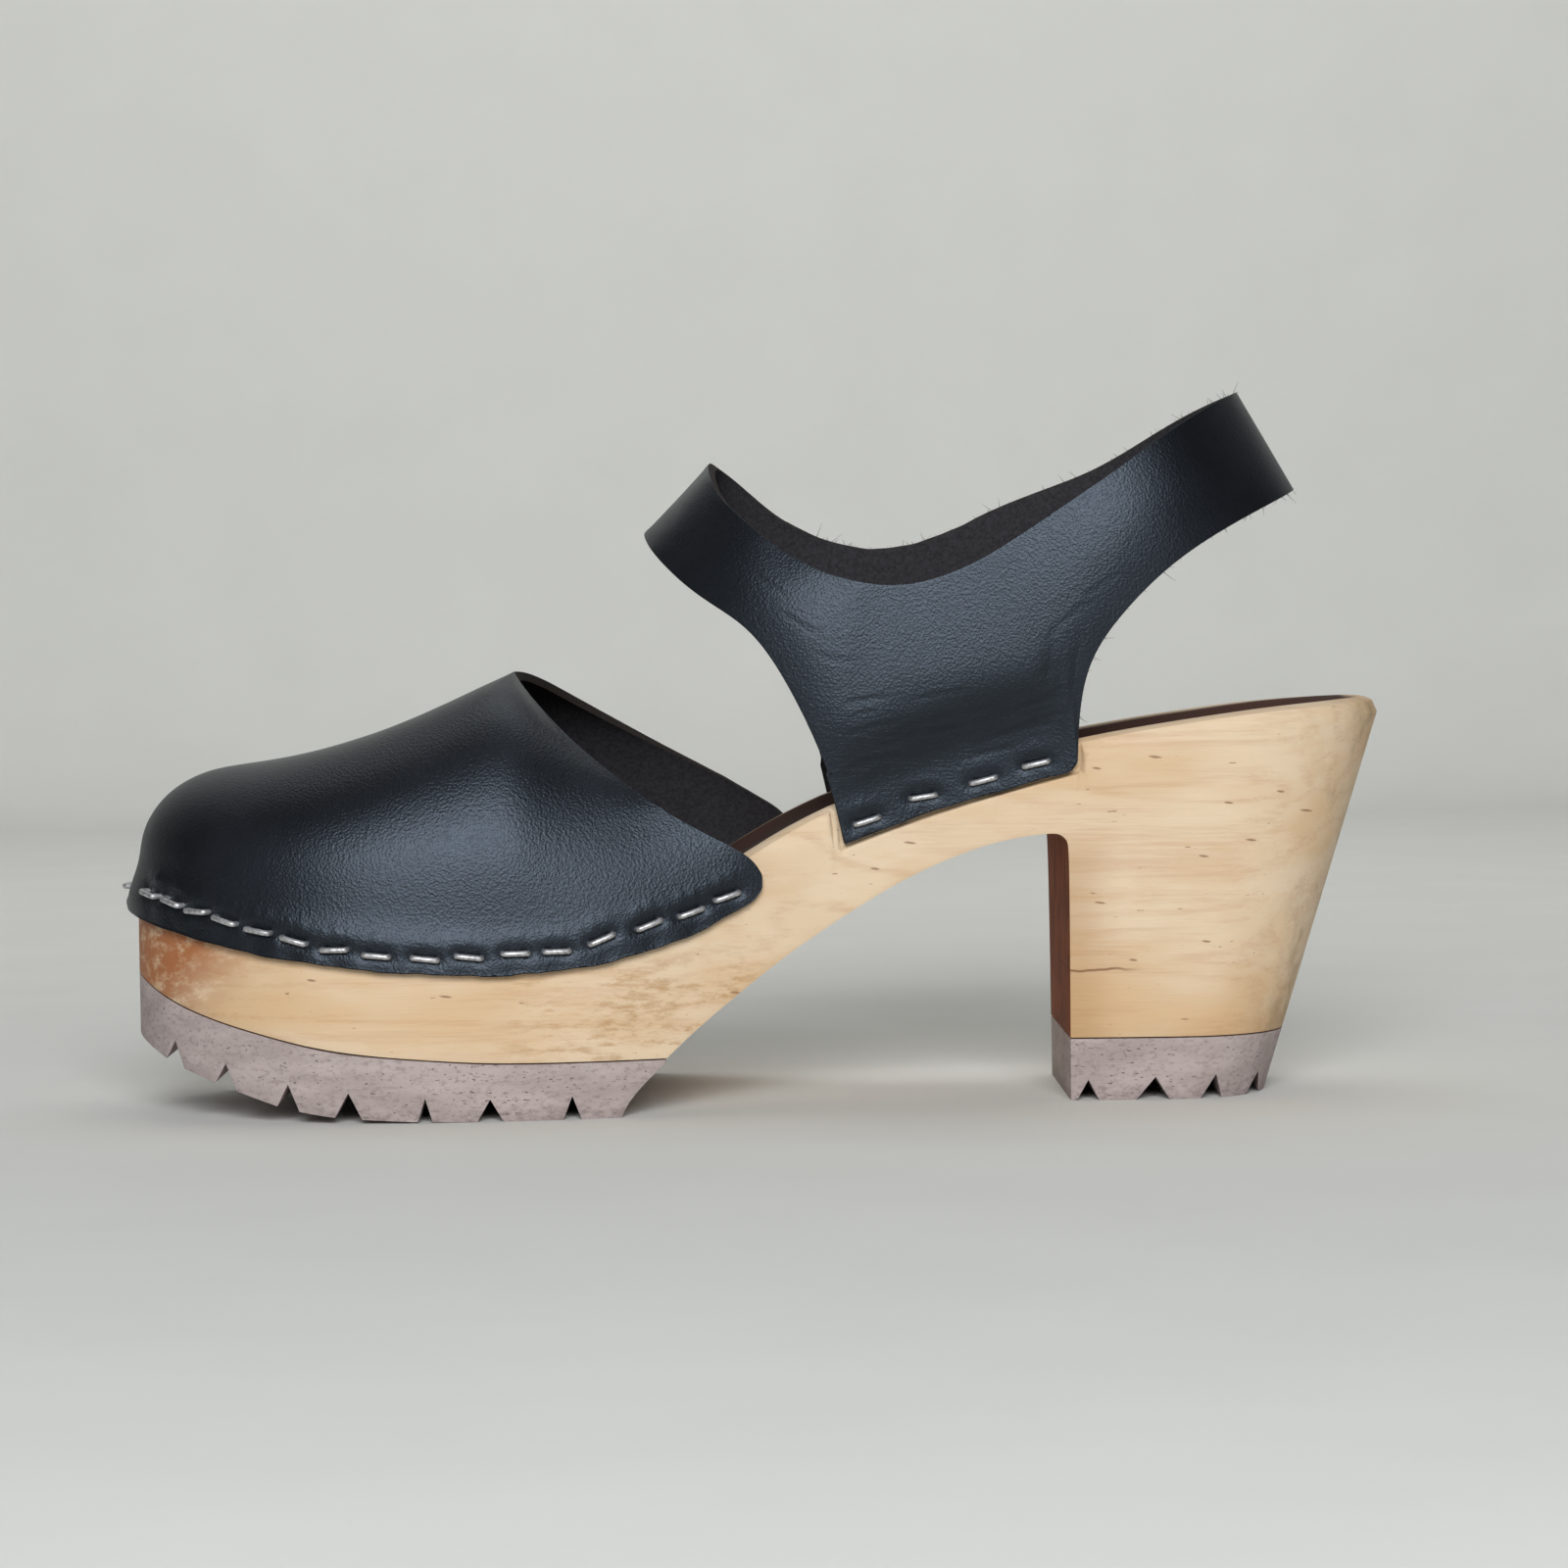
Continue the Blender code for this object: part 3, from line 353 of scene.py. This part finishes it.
def newPiece(name, bm, materials):
    mesh = bpy.data.meshes.new(name)
    bm.to_mesh(mesh)
    bm.free()
    for look in materials:
        mesh.materials.append(looks[look])
    obj = bpy.data.objects.new(name, mesh)
    bpy.context.scene.collection.objects.link(obj)
    mesh.shade_smooth()
    return obj


def rounded(obj, levels, bevel, segments=2, degrees=38):
    smooth = obj.modifiers.new("Smooth", "SUBSURF")
    smooth.levels = smooth.render_levels = levels
    if bevel:
        soften = obj.modifiers.new("Edges", "BEVEL")
        soften.width = bevel
        soften.segments = segments
        soften.limit_method = "ANGLE"
        soften.angle_limit = math.radians(degrees)
        soften.harden_normals = False
    return baked(obj)


def keepPiece(obj, slotName, *nodes):
    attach(obj, "root")
    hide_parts(*nodes)


def readVerts(mesh):
    count = len(mesh.vertices)
    places, normals = np.empty(count * 3), np.empty(count * 3)
    mesh.vertices.foreach_get("co", places)
    mesh.vertices.foreach_get("normal", normals)
    return places.reshape(-1, 3), normals.reshape(-1, 3)


def writeVerts(mesh, places):
    mesh.vertices.foreach_set("co", places.reshape(-1))
    mesh.update()


def smoothStep(value, low, high):
    t = np.clip((value - low) / (high - low), 0, 1)
    return t * t * (3 - 2 * t)


base = {
    "levels": 3, "bevel": 0.45 * mm, "creaseAngle": 34, "rimIn": 4.6 * mm, "rimOut": 6.4 * mm,
    "lowest": 20 * mm, "slices": 120, "outlineSteps": 300, "rubs": 110, "rubbedBeyond": 20 * mm,
}
# strips beside the strap's foot where the routed step is rubbed away: along from, to, up from, to
rubbedStrips = ((14.6 * mm, 18.3 * mm, 44 * mm, 60 * mm), (64.3 * mm, 66.8 * mm, 60 * mm, 70.6 * mm))


def footbedShare(places, normals):
    # how far a point lies inside the rim, seen from above, as a 0 to 1 mask
    front, back = places[:, 0].min(), places[:, 0].max()
    slices = np.linspace(front, back, base["slices"])
    reach = slices[1] - slices[0]
    outline = []
    for x in slices:
        ys = places[np.abs(places[:, 0] - x) < reach, 1]
        outline += [(x, ys.min()), (x, ys.max())]
    ring = KDTree(4 * base["outlineSteps"])
    for side in (outline[0::2], outline[1::2], outline[:2], outline[-2:]):
        line = np.array(side)
        for t in np.linspace(0, len(side) - 1, base["outlineSteps"]):
            low = int(min(t, len(side) - 2))
            x, y = line[low] + (line[low + 1] - line[low]) * (t - low)
            ring.insert((x, y, 0), 0)
    ring.balance()
    inside = np.array([ring.find((x, y, 0))[2] for x, y, _ in places])
    up = smoothStep(normals[:, 2], 0.1, 0.4)
    return smoothStep(inside, base["rimIn"], base["rimOut"]) * up * (places[:, 2] > base["lowest"])


def rubStrips(obj):
    bm = bmesh.new()
    bm.from_mesh(obj.data)
    for front, back, low, high in rubbedStrips:
        verts = [v for v in bm.verts if front < v.co.x < back and low < v.co.z < high
                 and abs(v.co.y) > base["rubbedBeyond"]]
        for _ in range(base["rubs"]):
            bmesh.ops.smooth_vert(bm, verts=verts, factor=0.5, use_axis_y=True)
    bm.to_mesh(obj.data)
    bm.free()


def makeBase():
    bm = mergedCopy("clog_base")
    creaseEdges(bm, base["creaseAngle"])
    obj = rounded(newPiece("woodBase", bm, ["wood"]), base["levels"], base["bevel"])
    rubStrips(obj)
    places, normals = readVerts(obj.data)
    layer = obj.data.attributes.new("footbed", "FLOAT", "POINT")
    layer.data.foreach_set("value", footbedShare(places, normals).astype(np.float32))
    keepPiece(obj, "wood", "clog_base")
    return obj


tread = {"levels": 2, "bevel": 0.8 * mm, "creaseAngle": 30}


def makeTread(name, nodeName):
    bm = mergedCopy(nodeName)
    creaseEdges(bm, tread["creaseAngle"])
    obj = rounded(newPiece(name, bm, ["rubber"]), tread["levels"], tread["bevel"])
    keepPiece(obj, "rubber", nodeName)
    return obj


staple = {
    "wire": 0.57 * mm, "leg": 1.5 * mm, "shoulder": 0.5 * mm, "lift": 0.44 * mm, "bow": 0.04 * mm,
    "clear": 0.85 * mm, "coreFront": -70 * mm, "coreBack": 80 * mm, "turnPerMm": 40,
}


def stapleFacts(nodeName):
    # middle, direction and outward normal of a staple, read from its node
    points, _ = readVerts(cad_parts[nodeName].data)
    middle = points.mean(axis=0)
    along = np.linalg.svd(points - middle)[2][0]
    along = along if along[0] > 0 else -along
    level = np.array([along[1], -along[0], 0.0])
    core = np.array([min(max(middle[0], staple["coreFront"]), staple["coreBack"]), 0, middle[2]])
    out = level / np.linalg.norm(level)
    out = out if np.dot(out, middle - core) > 0 else -out
    length = np.ptp((points - middle) @ along)
    turn = staple["turnPerMm"] * middle[0] / mm
    middle = middle - out * staple["clear"]
    return {"middle": middle, "along": along, "out": out, "half": length / 2, "turn": turn}


def makeStaples(name, nodeNames):
    curve = bpy.data.curves.new(name, "CURVE")
    curve.dimensions = "3D"
    curve.bevel_depth = staple["wire"]
    curve.bevel_resolution = 3
    curve.use_fill_caps = True
    for nodeName in nodeNames:
        facts = stapleFacts(nodeName)
        half, lift, shoulder = facts["half"], staple["lift"], staple["shoulder"]
        bowed = lift + staple["bow"]
        path = [(-half, -staple["leg"]), (-half, lift - shoulder)]
        path += [(-half + 0.3 * shoulder, lift - 0.3 * shoulder), (-half + shoulder, lift), (0, bowed)]
        path += [(half - shoulder, lift), (half - 0.3 * shoulder, lift - 0.3 * shoulder)]
        path += [(half, lift - shoulder), (half, -staple["leg"])]
        spline = curve.splines.new("POLY")
        spline.points.add(len(path) - 1)
        for point, (run, up) in zip(spline.points, path):
            point.co = (*(facts["middle"] + facts["along"] * run + facts["out"] * up), 1)
    guide = bpy.data.objects.new(name + "Path", curve)
    bpy.context.scene.collection.objects.link(guide)
    view = bpy.context.evaluated_depsgraph_get()
    view.update()
    mesh = bpy.data.meshes.new_from_object(guide.evaluated_get(view))
    bpy.data.objects.remove(guide, do_unlink=True)
    mesh.materials.clear()
    mesh.materials.append(looks["wire"])
    mesh.name = name
    obj = bpy.data.objects.new(name, mesh)
    bpy.context.scene.collection.objects.link(obj)
    mesh.shade_smooth()
    keepPiece(obj, "wire", *nodeNames)
    return obj


def splitSides(bm, sharp):
    # outer face 0, cut edges 1 and inner face 2, told apart by the sharp edges between them
    sharp = set(sharp)
    seen, groups = set(), []
    for start in bm.faces:
        if start in seen:
            continue
        group, waiting = [], [start]
        seen.add(start)
        while waiting:
            face = waiting.pop()
            group.append(face)
            for edge in face.edges:
                if edge in sharp:
                    continue
                for other in edge.link_faces:
                    if other not in seen:
                        seen.add(other)
                        waiting.append(other)
        groups.append(group)
    groups.sort(key=lambda g: -sum(face.calc_area() for face in g))
    for face in bm.faces:
        face.material_index = 1
    for index, group in zip((0, 2), groups):
        for face in group:
            face.material_index = index
    return len(groups)


def leatherPiece(name, nodeName, settings):
    bm = mergedCopy(nodeName)
    sharp = creaseEdges(bm, settings["creaseAngle"])
    count = splitSides(bm, sharp)
    print(name, "groups", count)
    return rounded(newPiece(name, bm, ["leather", "edge", "inside"]), settings["levels"], settings["bevel"])


def densify(mesh, wanted):
    # split the outer faces that are wanted, once, for finer relief
    bm = bmesh.new()
    bm.from_mesh(mesh)
    chosen = [face for face in bm.faces if face.material_index == 0 and wanted(face.calc_center_median())]
    edges = list({edge for face in chosen for edge in face.edges})
    bmesh.ops.subdivide_edges(bm, edges=edges, cuts=1, use_grid_fill=True, smooth=0.0)
    bm.to_mesh(mesh)
    bm.free()


def nearStaples(facts, reach):
    middles = np.array([fact["middle"] for fact in facts])

    def near(point):
        return np.min(np.sum((middles - np.array(point)) ** 2, axis=1)) < reach * reach
    return near


dent = {
    "near": 5 * mm, "around": 14 * mm, "leg": 1.1 * mm, "legDepth": 0.35 * mm, "puff": 0.14 * mm,
    "puffAt": 3.2 * mm, "puffWide": 1.5 * mm, "puffLong": 3.6 * mm, "spokes": 0.04 * mm,
    "spokesAt": 3.4 * mm, "spokesWide": 1.5 * mm, "spokesLong": 4.2 * mm, "spokesPerMm": 2.2,
    "pinchWide": 1.8 * mm, "pinchLong": 2.4 * mm, "toeFrom": 106 * mm, "toeTo": 122 * mm,
    "deepest": 0.9 * mm,
}


def hump(along, across, long, wide, at=0.0):
    return np.exp(-((across - at) / wide) ** 2 - (along / long) ** 2)


def stapleDents(places, facts, settings):
    # leather pulled in under each staple and at its legs, puffed out beside it
    moved = np.zeros(len(places))
    for fact in facts:
        offset = places - fact["middle"]
        along = offset @ fact["along"]
        across = offset @ np.cross(fact["out"], fact["along"])
        depth = offset @ fact["out"]
        near = (np.abs(depth) < dent["near"]) & (np.abs(along) < dent["around"])
        near = near & (np.abs(across) < dent["around"])
        bed = hump(along, across, settings["dentLong"], settings["dentWide"])
        legs = sum(hump(along - end * fact["half"], across, dent["leg"], dent["leg"]) for end in (-1, 1))
        ridge = hump(along, across, dent["puffLong"], dent["puffWide"], dent["puffAt"])
        spokes = hump(along, across, dent["spokesLong"], dent["spokesWide"], dent["spokesAt"])
        spokes = spokes * np.cos(along / mm * dent["spokesPerMm"] + fact["turn"])
        pinch = hump(along, across, dent["pinchLong"], dent["pinchWide"], -dent["puffAt"])
        atToe = smoothStep(-fact["middle"][0], dent["toeFrom"], dent["toeTo"])
        raised = (dent["puff"] + settings["toePuff"] * atToe) * ridge + dent["spokes"] * spokes
        sunk = settings["dentDepth"] * bed + dent["legDepth"] * legs + settings["pinch"] * pinch
        moved[near] += (raised - sunk)[near]
    return moved


def raggedHem(places, facts, size):
    # the cut hem below the staples wanders up and down a little
    share = np.zeros(len(places))
    for fact in facts:
        offset = places - fact["middle"]
        across = offset @ np.cross(fact["out"], fact["along"])
        close = np.exp(-((offset @ fact["along"]) / (7 * mm)) ** 2) * (np.abs(offset @ fact["out"]) < 5 * mm)
        share = np.maximum(share, close * smoothStep(-across, 1.2 * mm, 4 * mm))
    run = (places[:, 0] + 0.4 * places[:, 1]) / mm
    wave = np.sin(run / 3.4) + 0.7 * np.sin(run / 1.7 + 1.0) + 0.4 * np.sin(run / 0.83 + 2.0)
    moved = places.copy()
    moved[:, 2] += share * wave * size
    return moved


def roundCorner(places, corner, radius):
    # a square corner of the panel's foot drawn in to a quarter circle, both sides of the shoe alike
    centre = np.array(corner) + np.array([-radius, radius])
    offset = places[:, [0, 2]] - centre
    run, drop = offset[:, 0], -offset[:, 1]
    inside = (run > 0) & (drop > 0) & (run < 2 * radius) & (drop < 2 * radius)
    scale = np.ones(len(places))
    scale[inside] = np.maximum(run, drop)[inside] / np.hypot(run, drop)[inside]
    moved = places.copy()
    moved[:, 0] = np.where(inside, centre[0] + run * scale, places[:, 0])
    moved[:, 2] = np.where(inside, centre[1] - drop * scale, places[:, 2])
    return moved


def creaseDepth(places, side, rows):
    # soft troughs drawn on the side view: ends, bend, width and depth of each
    moved = np.zeros(len(places))
    onSide = smoothStep(places[:, 1] * side, 6 * mm, 14 * mm)
    flat = places[:, [0, 2]] / mm
    for x1, z1, x2, z2, bend, width, depth in rows:
        start, end = np.array([x1, z1]), np.array([x2, z2])
        run = end - start
        length = np.linalg.norm(run)
        run = run / length
        normal = np.array([-run[1], run[0]])
        t = (flat - start) @ run / length
        arch = bend * 4 * t * (1 - t)
        across = (flat - start) @ normal - arch
        fade = smoothStep(t, 0.0, 0.3) * (1 - smoothStep(t, 0.7, 1.0))
        profile = np.exp(-(across / width) ** 2) - 0.5 * np.exp(-((across - 1.7 * width) / width) ** 2)
        moved -= depth * mm * fade * profile * onSide
    return moved


vamp = {
    "levels": 3, "bevel": 0.3 * mm, "creaseAngle": 52, "dentDepth": 0.5 * mm, "dentLong": 3.3 * mm,
    "dentWide": 1.7 * mm, "pinch": 0.3 * mm, "ragged": 0.14 * mm, "denseReach": 5.2 * mm,
    "toePuff": 0.45 * mm,
}
strap = {
    "levels": 3, "bevel": 0.3 * mm, "creaseAngle": 52, "dentDepth": 0.45 * mm, "dentLong": 3.3 * mm,
    "dentWide": 1.8 * mm, "pinch": 0.3 * mm, "ragged": 0.12 * mm, "foot": (50 * mm, 84 * mm),
    "panel": (12 * mm, 70 * mm), "toePuff": 0.0, "cornerRadius": 2.2 * mm, "cornerBelow": 68.5 * mm,
    "frontBelow": 66 * mm, "frontAt": 18.5 * mm, "overlap": 0.5 * mm,
}

# wrinkles in each panel, drawn on the side view: x1, z1, x2, z2, bend, width, depth in millimetres
panelCreases = (
    (17, 66, 33, 69, 0.8, 0.7, 0.09), (20, 69.5, 46, 75, 1.0, 0.6, 0.07),
    (25, 73, 50, 78.5, 0.9, 0.6, 0.06), (17, 73, 31, 76, 0.6, 0.6, 0.06),
    (45, 71.5, 62, 75.5, 0.7, 0.7, 0.09), (49, 76.5, 65, 81, 0.8, 0.6, 0.07),
    (54, 83, 65, 88, 0.8, 0.6, 0.05), (57, 91, 70, 100, 1.0, 0.7, 0.05),
    (63, 97, 74, 105, 0.8, 0.6, 0.04), (16, 79, 28, 81, 0.5, 0.6, 0.05),
    (12, 90, 22, 88, -0.6, 0.7, 0.05), (6, 98, 15, 93, -0.5, 0.7, 0.05),
    (30, 79.5, 44, 82, 0.6, 0.6, 0.05), (40, 67.5, 54, 71, 0.5, 0.6, 0.07),
    (0, 107, 9, 100, -0.5, 0.7, 0.05), (19, 67.6, 30, 69.8, 0.4, 0.5, 0.07),
    (22, 71.5, 36, 74.2, 0.6, 0.5, 0.05), (52, 74.3, 63, 77.4, 0.4, 0.5, 0.07),
    (18, 76.8, 26, 78.2, 0.3, 0.5, 0.05), (34, 72.4, 52, 77.0, 0.7, 0.5, 0.05),
    (56, 79.4, 65, 83.0, 0.5, 0.5, 0.06),
)
# the vamp has one shallow drag line toward its wing
vampCreases = ((-30, 53, -4, 59, 1.2, 2.6, 0.08),)


def sculptLeather(obj, facts, settings, creaseRows):
    mesh = obj.data
    places, normals = readVerts(mesh)
    moved = stapleDents(places, facts, settings)
    for side in (-1, 1):
        moved += creaseDepth(places, side, creaseRows)
    # only the outer face moves, so that the wall stays clear of the wood
    outer = np.zeros(len(places), dtype=bool)
    for face in mesh.polygons:
        if face.material_index == 0:
            outer[list(face.vertices)] = True
    moved = np.maximum(moved, -dent["deepest"])
    sculpted = raggedHem(places + normals * (moved * outer)[:, None], facts, settings["ragged"])
    if "cornerRadius" in settings:
        low = sculpted[:, 2] < settings["frontBelow"]
        share = low * (1 - smoothStep(sculpted[:, 0], settings["frontAt"], settings["frontAt"] + 3 * mm))
        sculpted[:, 0] -= settings["overlap"] * share
        foot = sculpted[sculpted[:, 2] < settings["cornerBelow"]]
        back = foot[:, 0].max()
        low = foot[foot[:, 0] > back - 0.4 * mm, 2].min()
        sculpted = roundCorner(sculpted, (back, low), settings["cornerRadius"])
    writeVerts(mesh, sculpted)
    return obj


def makeVamp(facts):
    obj = leatherPiece("vampLeather", "vamp", vamp)
    densify(obj.data, nearStaples(facts, vamp["denseReach"]))
    sculptLeather(obj, facts, vamp, vampCreases)
    keepPiece(obj, "leather", "vamp")
    return obj


def makeStrap(facts):
    obj = leatherPiece("strapLeather", "ankle_strap", strap)
    front, back = strap["panel"]
    low, high = strap["foot"]

    def creased(point):
        return front < point.x < back and low < point.z < high

    densify(obj.data, creased)
    sculptLeather(obj, facts, strap, panelCreases)
    keepPiece(obj, "leather", "ankle_strap")
    return obj


# loose fibres on the cut edges of the band: thickness, reach, how many and where they start
fibres = {
    "thick": 0.085 * mm, "shortest": 0.7 * mm, "longest": 1.3 * mm, "sink": 0.35 * mm, "steps": 5,
    "taper": 0.75, "spread": 0.9, "curl": 1.3, "count": 260, "from": 14 * mm, "above": 75 * mm,
}


def makeFibres(strapObj):
    mesh = strapObj.data
    rng = np.random.default_rng(7)
    cut = [face for face in mesh.polygons if face.material_index == 1]
    edgeFaces = [face for face in cut if face.center.x > fibres["from"] and face.center.z > fibres["above"]]
    picks = rng.choice(len(edgeFaces), fibres["count"], replace=False)
    bm = bmesh.new()
    for pick in picks:
        face = edgeFaces[pick]
        start = face.center - face.normal * fibres["sink"]
        reach = fibres["shortest"] + (fibres["longest"] - fibres["shortest"]) * rng.random() ** 2
        side = Vector(rng.normal(0, fibres["spread"], 3))
        bend = Vector(rng.normal(0, fibres["curl"], 3))
        rings = []
        steps = fibres["steps"]
        for k in range(steps):
            t = k / (steps - 1)
            middle = start + (face.normal * t + side * (0.5 * t) + bend * (0.5 * t * t)) * reach
            radius = fibres["thick"] * (1 - fibres["taper"] * t)
            across = face.normal.orthogonal().normalized() * radius
            other = face.normal.cross(across)
            corners = (0, math.tau / 3, math.tau * 2 / 3)
            ring = [middle + across * math.cos(a) + other * math.sin(a) for a in corners]
            rings.append([bm.verts.new(place) for place in ring])
        for lower, upper in zip(rings, rings[1:]):
            for i in range(3):
                bm.faces.new((lower[i], lower[(i + 1) % 3], upper[(i + 1) % 3], upper[i]))
        bm.faces.new(rings[0][::-1])
        bm.faces.new(rings[-1])
    bmesh.ops.recalc_face_normals(bm, faces=bm.faces)
    obj = newPiece("strapFibres", bm, ["edge"])
    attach(obj, "root")
    return obj


def makeStage():
    bm = bmesh.new()
    half, wallAt, sweep = stage["half"], stage["wallAt"], stage["sweep"]
    start = wallAt - sweep
    line = [(stage["front"], 0.0), (start, 0.0)]
    line += [(start + sweep * math.sin(a), sweep - sweep * math.cos(a)) for a in np.linspace(0.2, 1.4, 7)]
    line += [(wallAt, sweep), (wallAt, stage["wallTop"])]
    verts = [bm.verts.new((-half, y, z)) for y, z in line]
    edges = [bm.edges.new(pair) for pair in zip(verts, verts[1:])]
    made = bmesh.ops.extrude_edge_only(bm, edges=edges)
    moved = [item for item in made["geom"] if isinstance(item, bmesh.types.BMVert)]
    bmesh.ops.translate(bm, verts=moved, vec=(2 * half, 0, 0))
    bmesh.ops.recalc_face_normals(bm, faces=bm.faces)
    obj = newPiece("studioSweep", bm, ["floor"])


def makeLights():
    for name, facts in lights.items():
        lamp = bpy.data.lights.new(name, "AREA")
        lamp.shape = "RECTANGLE"
        lamp.size, lamp.size_y = facts["size"]
        lamp.energy = facts["power"]
        lamp.color = facts["tint"]
        obj = bpy.data.objects.new(name, lamp)
        obj.location = facts["place"]
        aim = Vector(facts.get("aim", (0, 0, 0.06))) - obj.location
        obj.rotation_euler = aim.to_track_quat("-Z", "Y").to_euler()
        bpy.context.scene.collection.objects.link(obj)
    world = bpy.data.worlds.new("studio")
    world.use_nodes = True
    world.node_tree.nodes["Background"].inputs["Color"].default_value = (0.93, 0.95, 1.0, 1)
    world.node_tree.nodes["Background"].inputs["Strength"].default_value = stage["world"]
    bpy.context.scene.world = world
    bpy.context.scene.view_settings.view_transform = "Standard"


def makeCamera():
    yaw, pitch, roll = (math.radians(camera[k]) for k in ("yaw", "pitch", "roll"))
    flat = math.cos(pitch)
    forward = Vector((flat * math.sin(yaw), flat * math.cos(yaw), -math.sin(pitch)))
    level = Vector((math.cos(yaw), -math.sin(yaw), 0))
    rise = level.cross(forward)
    right = level * math.cos(roll) - rise * math.sin(roll)
    up = level * math.sin(roll) + rise * math.cos(roll)
    data = bpy.data.cameras.new("camera")
    data.sensor_width = camera["sensor"]
    data.lens = camera["focalPixels"] / camera["framePixels"] * camera["sensor"]
    data.clip_start, data.clip_end = 0.05, 20
    obj = bpy.data.objects.new("camera", data)
    turn = Matrix((right, up, -forward)).transposed().to_4x4()
    obj.matrix_world = Matrix.Translation((camera["along"], -camera["distance"], camera["height"])) @ turn
    bpy.context.scene.collection.objects.link(obj)
    bpy.context.scene.camera = obj


makeCamera()
makeLights()
makeStage()
print("camera, lights and floor set")
vampNodes = sorted(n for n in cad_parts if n.startswith("vamp_staple"))
strapNodes = sorted(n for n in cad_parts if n.startswith("strap_staple"))
makeBase()
makeTread("forefootRubber", "forefoot_tread")
makeTread("heelRubber", "heel_tread")
print("wood and rubber made")
makeVamp([stapleFacts(n) for n in vampNodes])
makeFibres(makeStrap([stapleFacts(n) for n in strapNodes]))
makeStaples("vampStaples", vampNodes)
makeStaples("strapStaples", strapNodes)
print("leather and staples made")

bpy.context.view_layer.update()
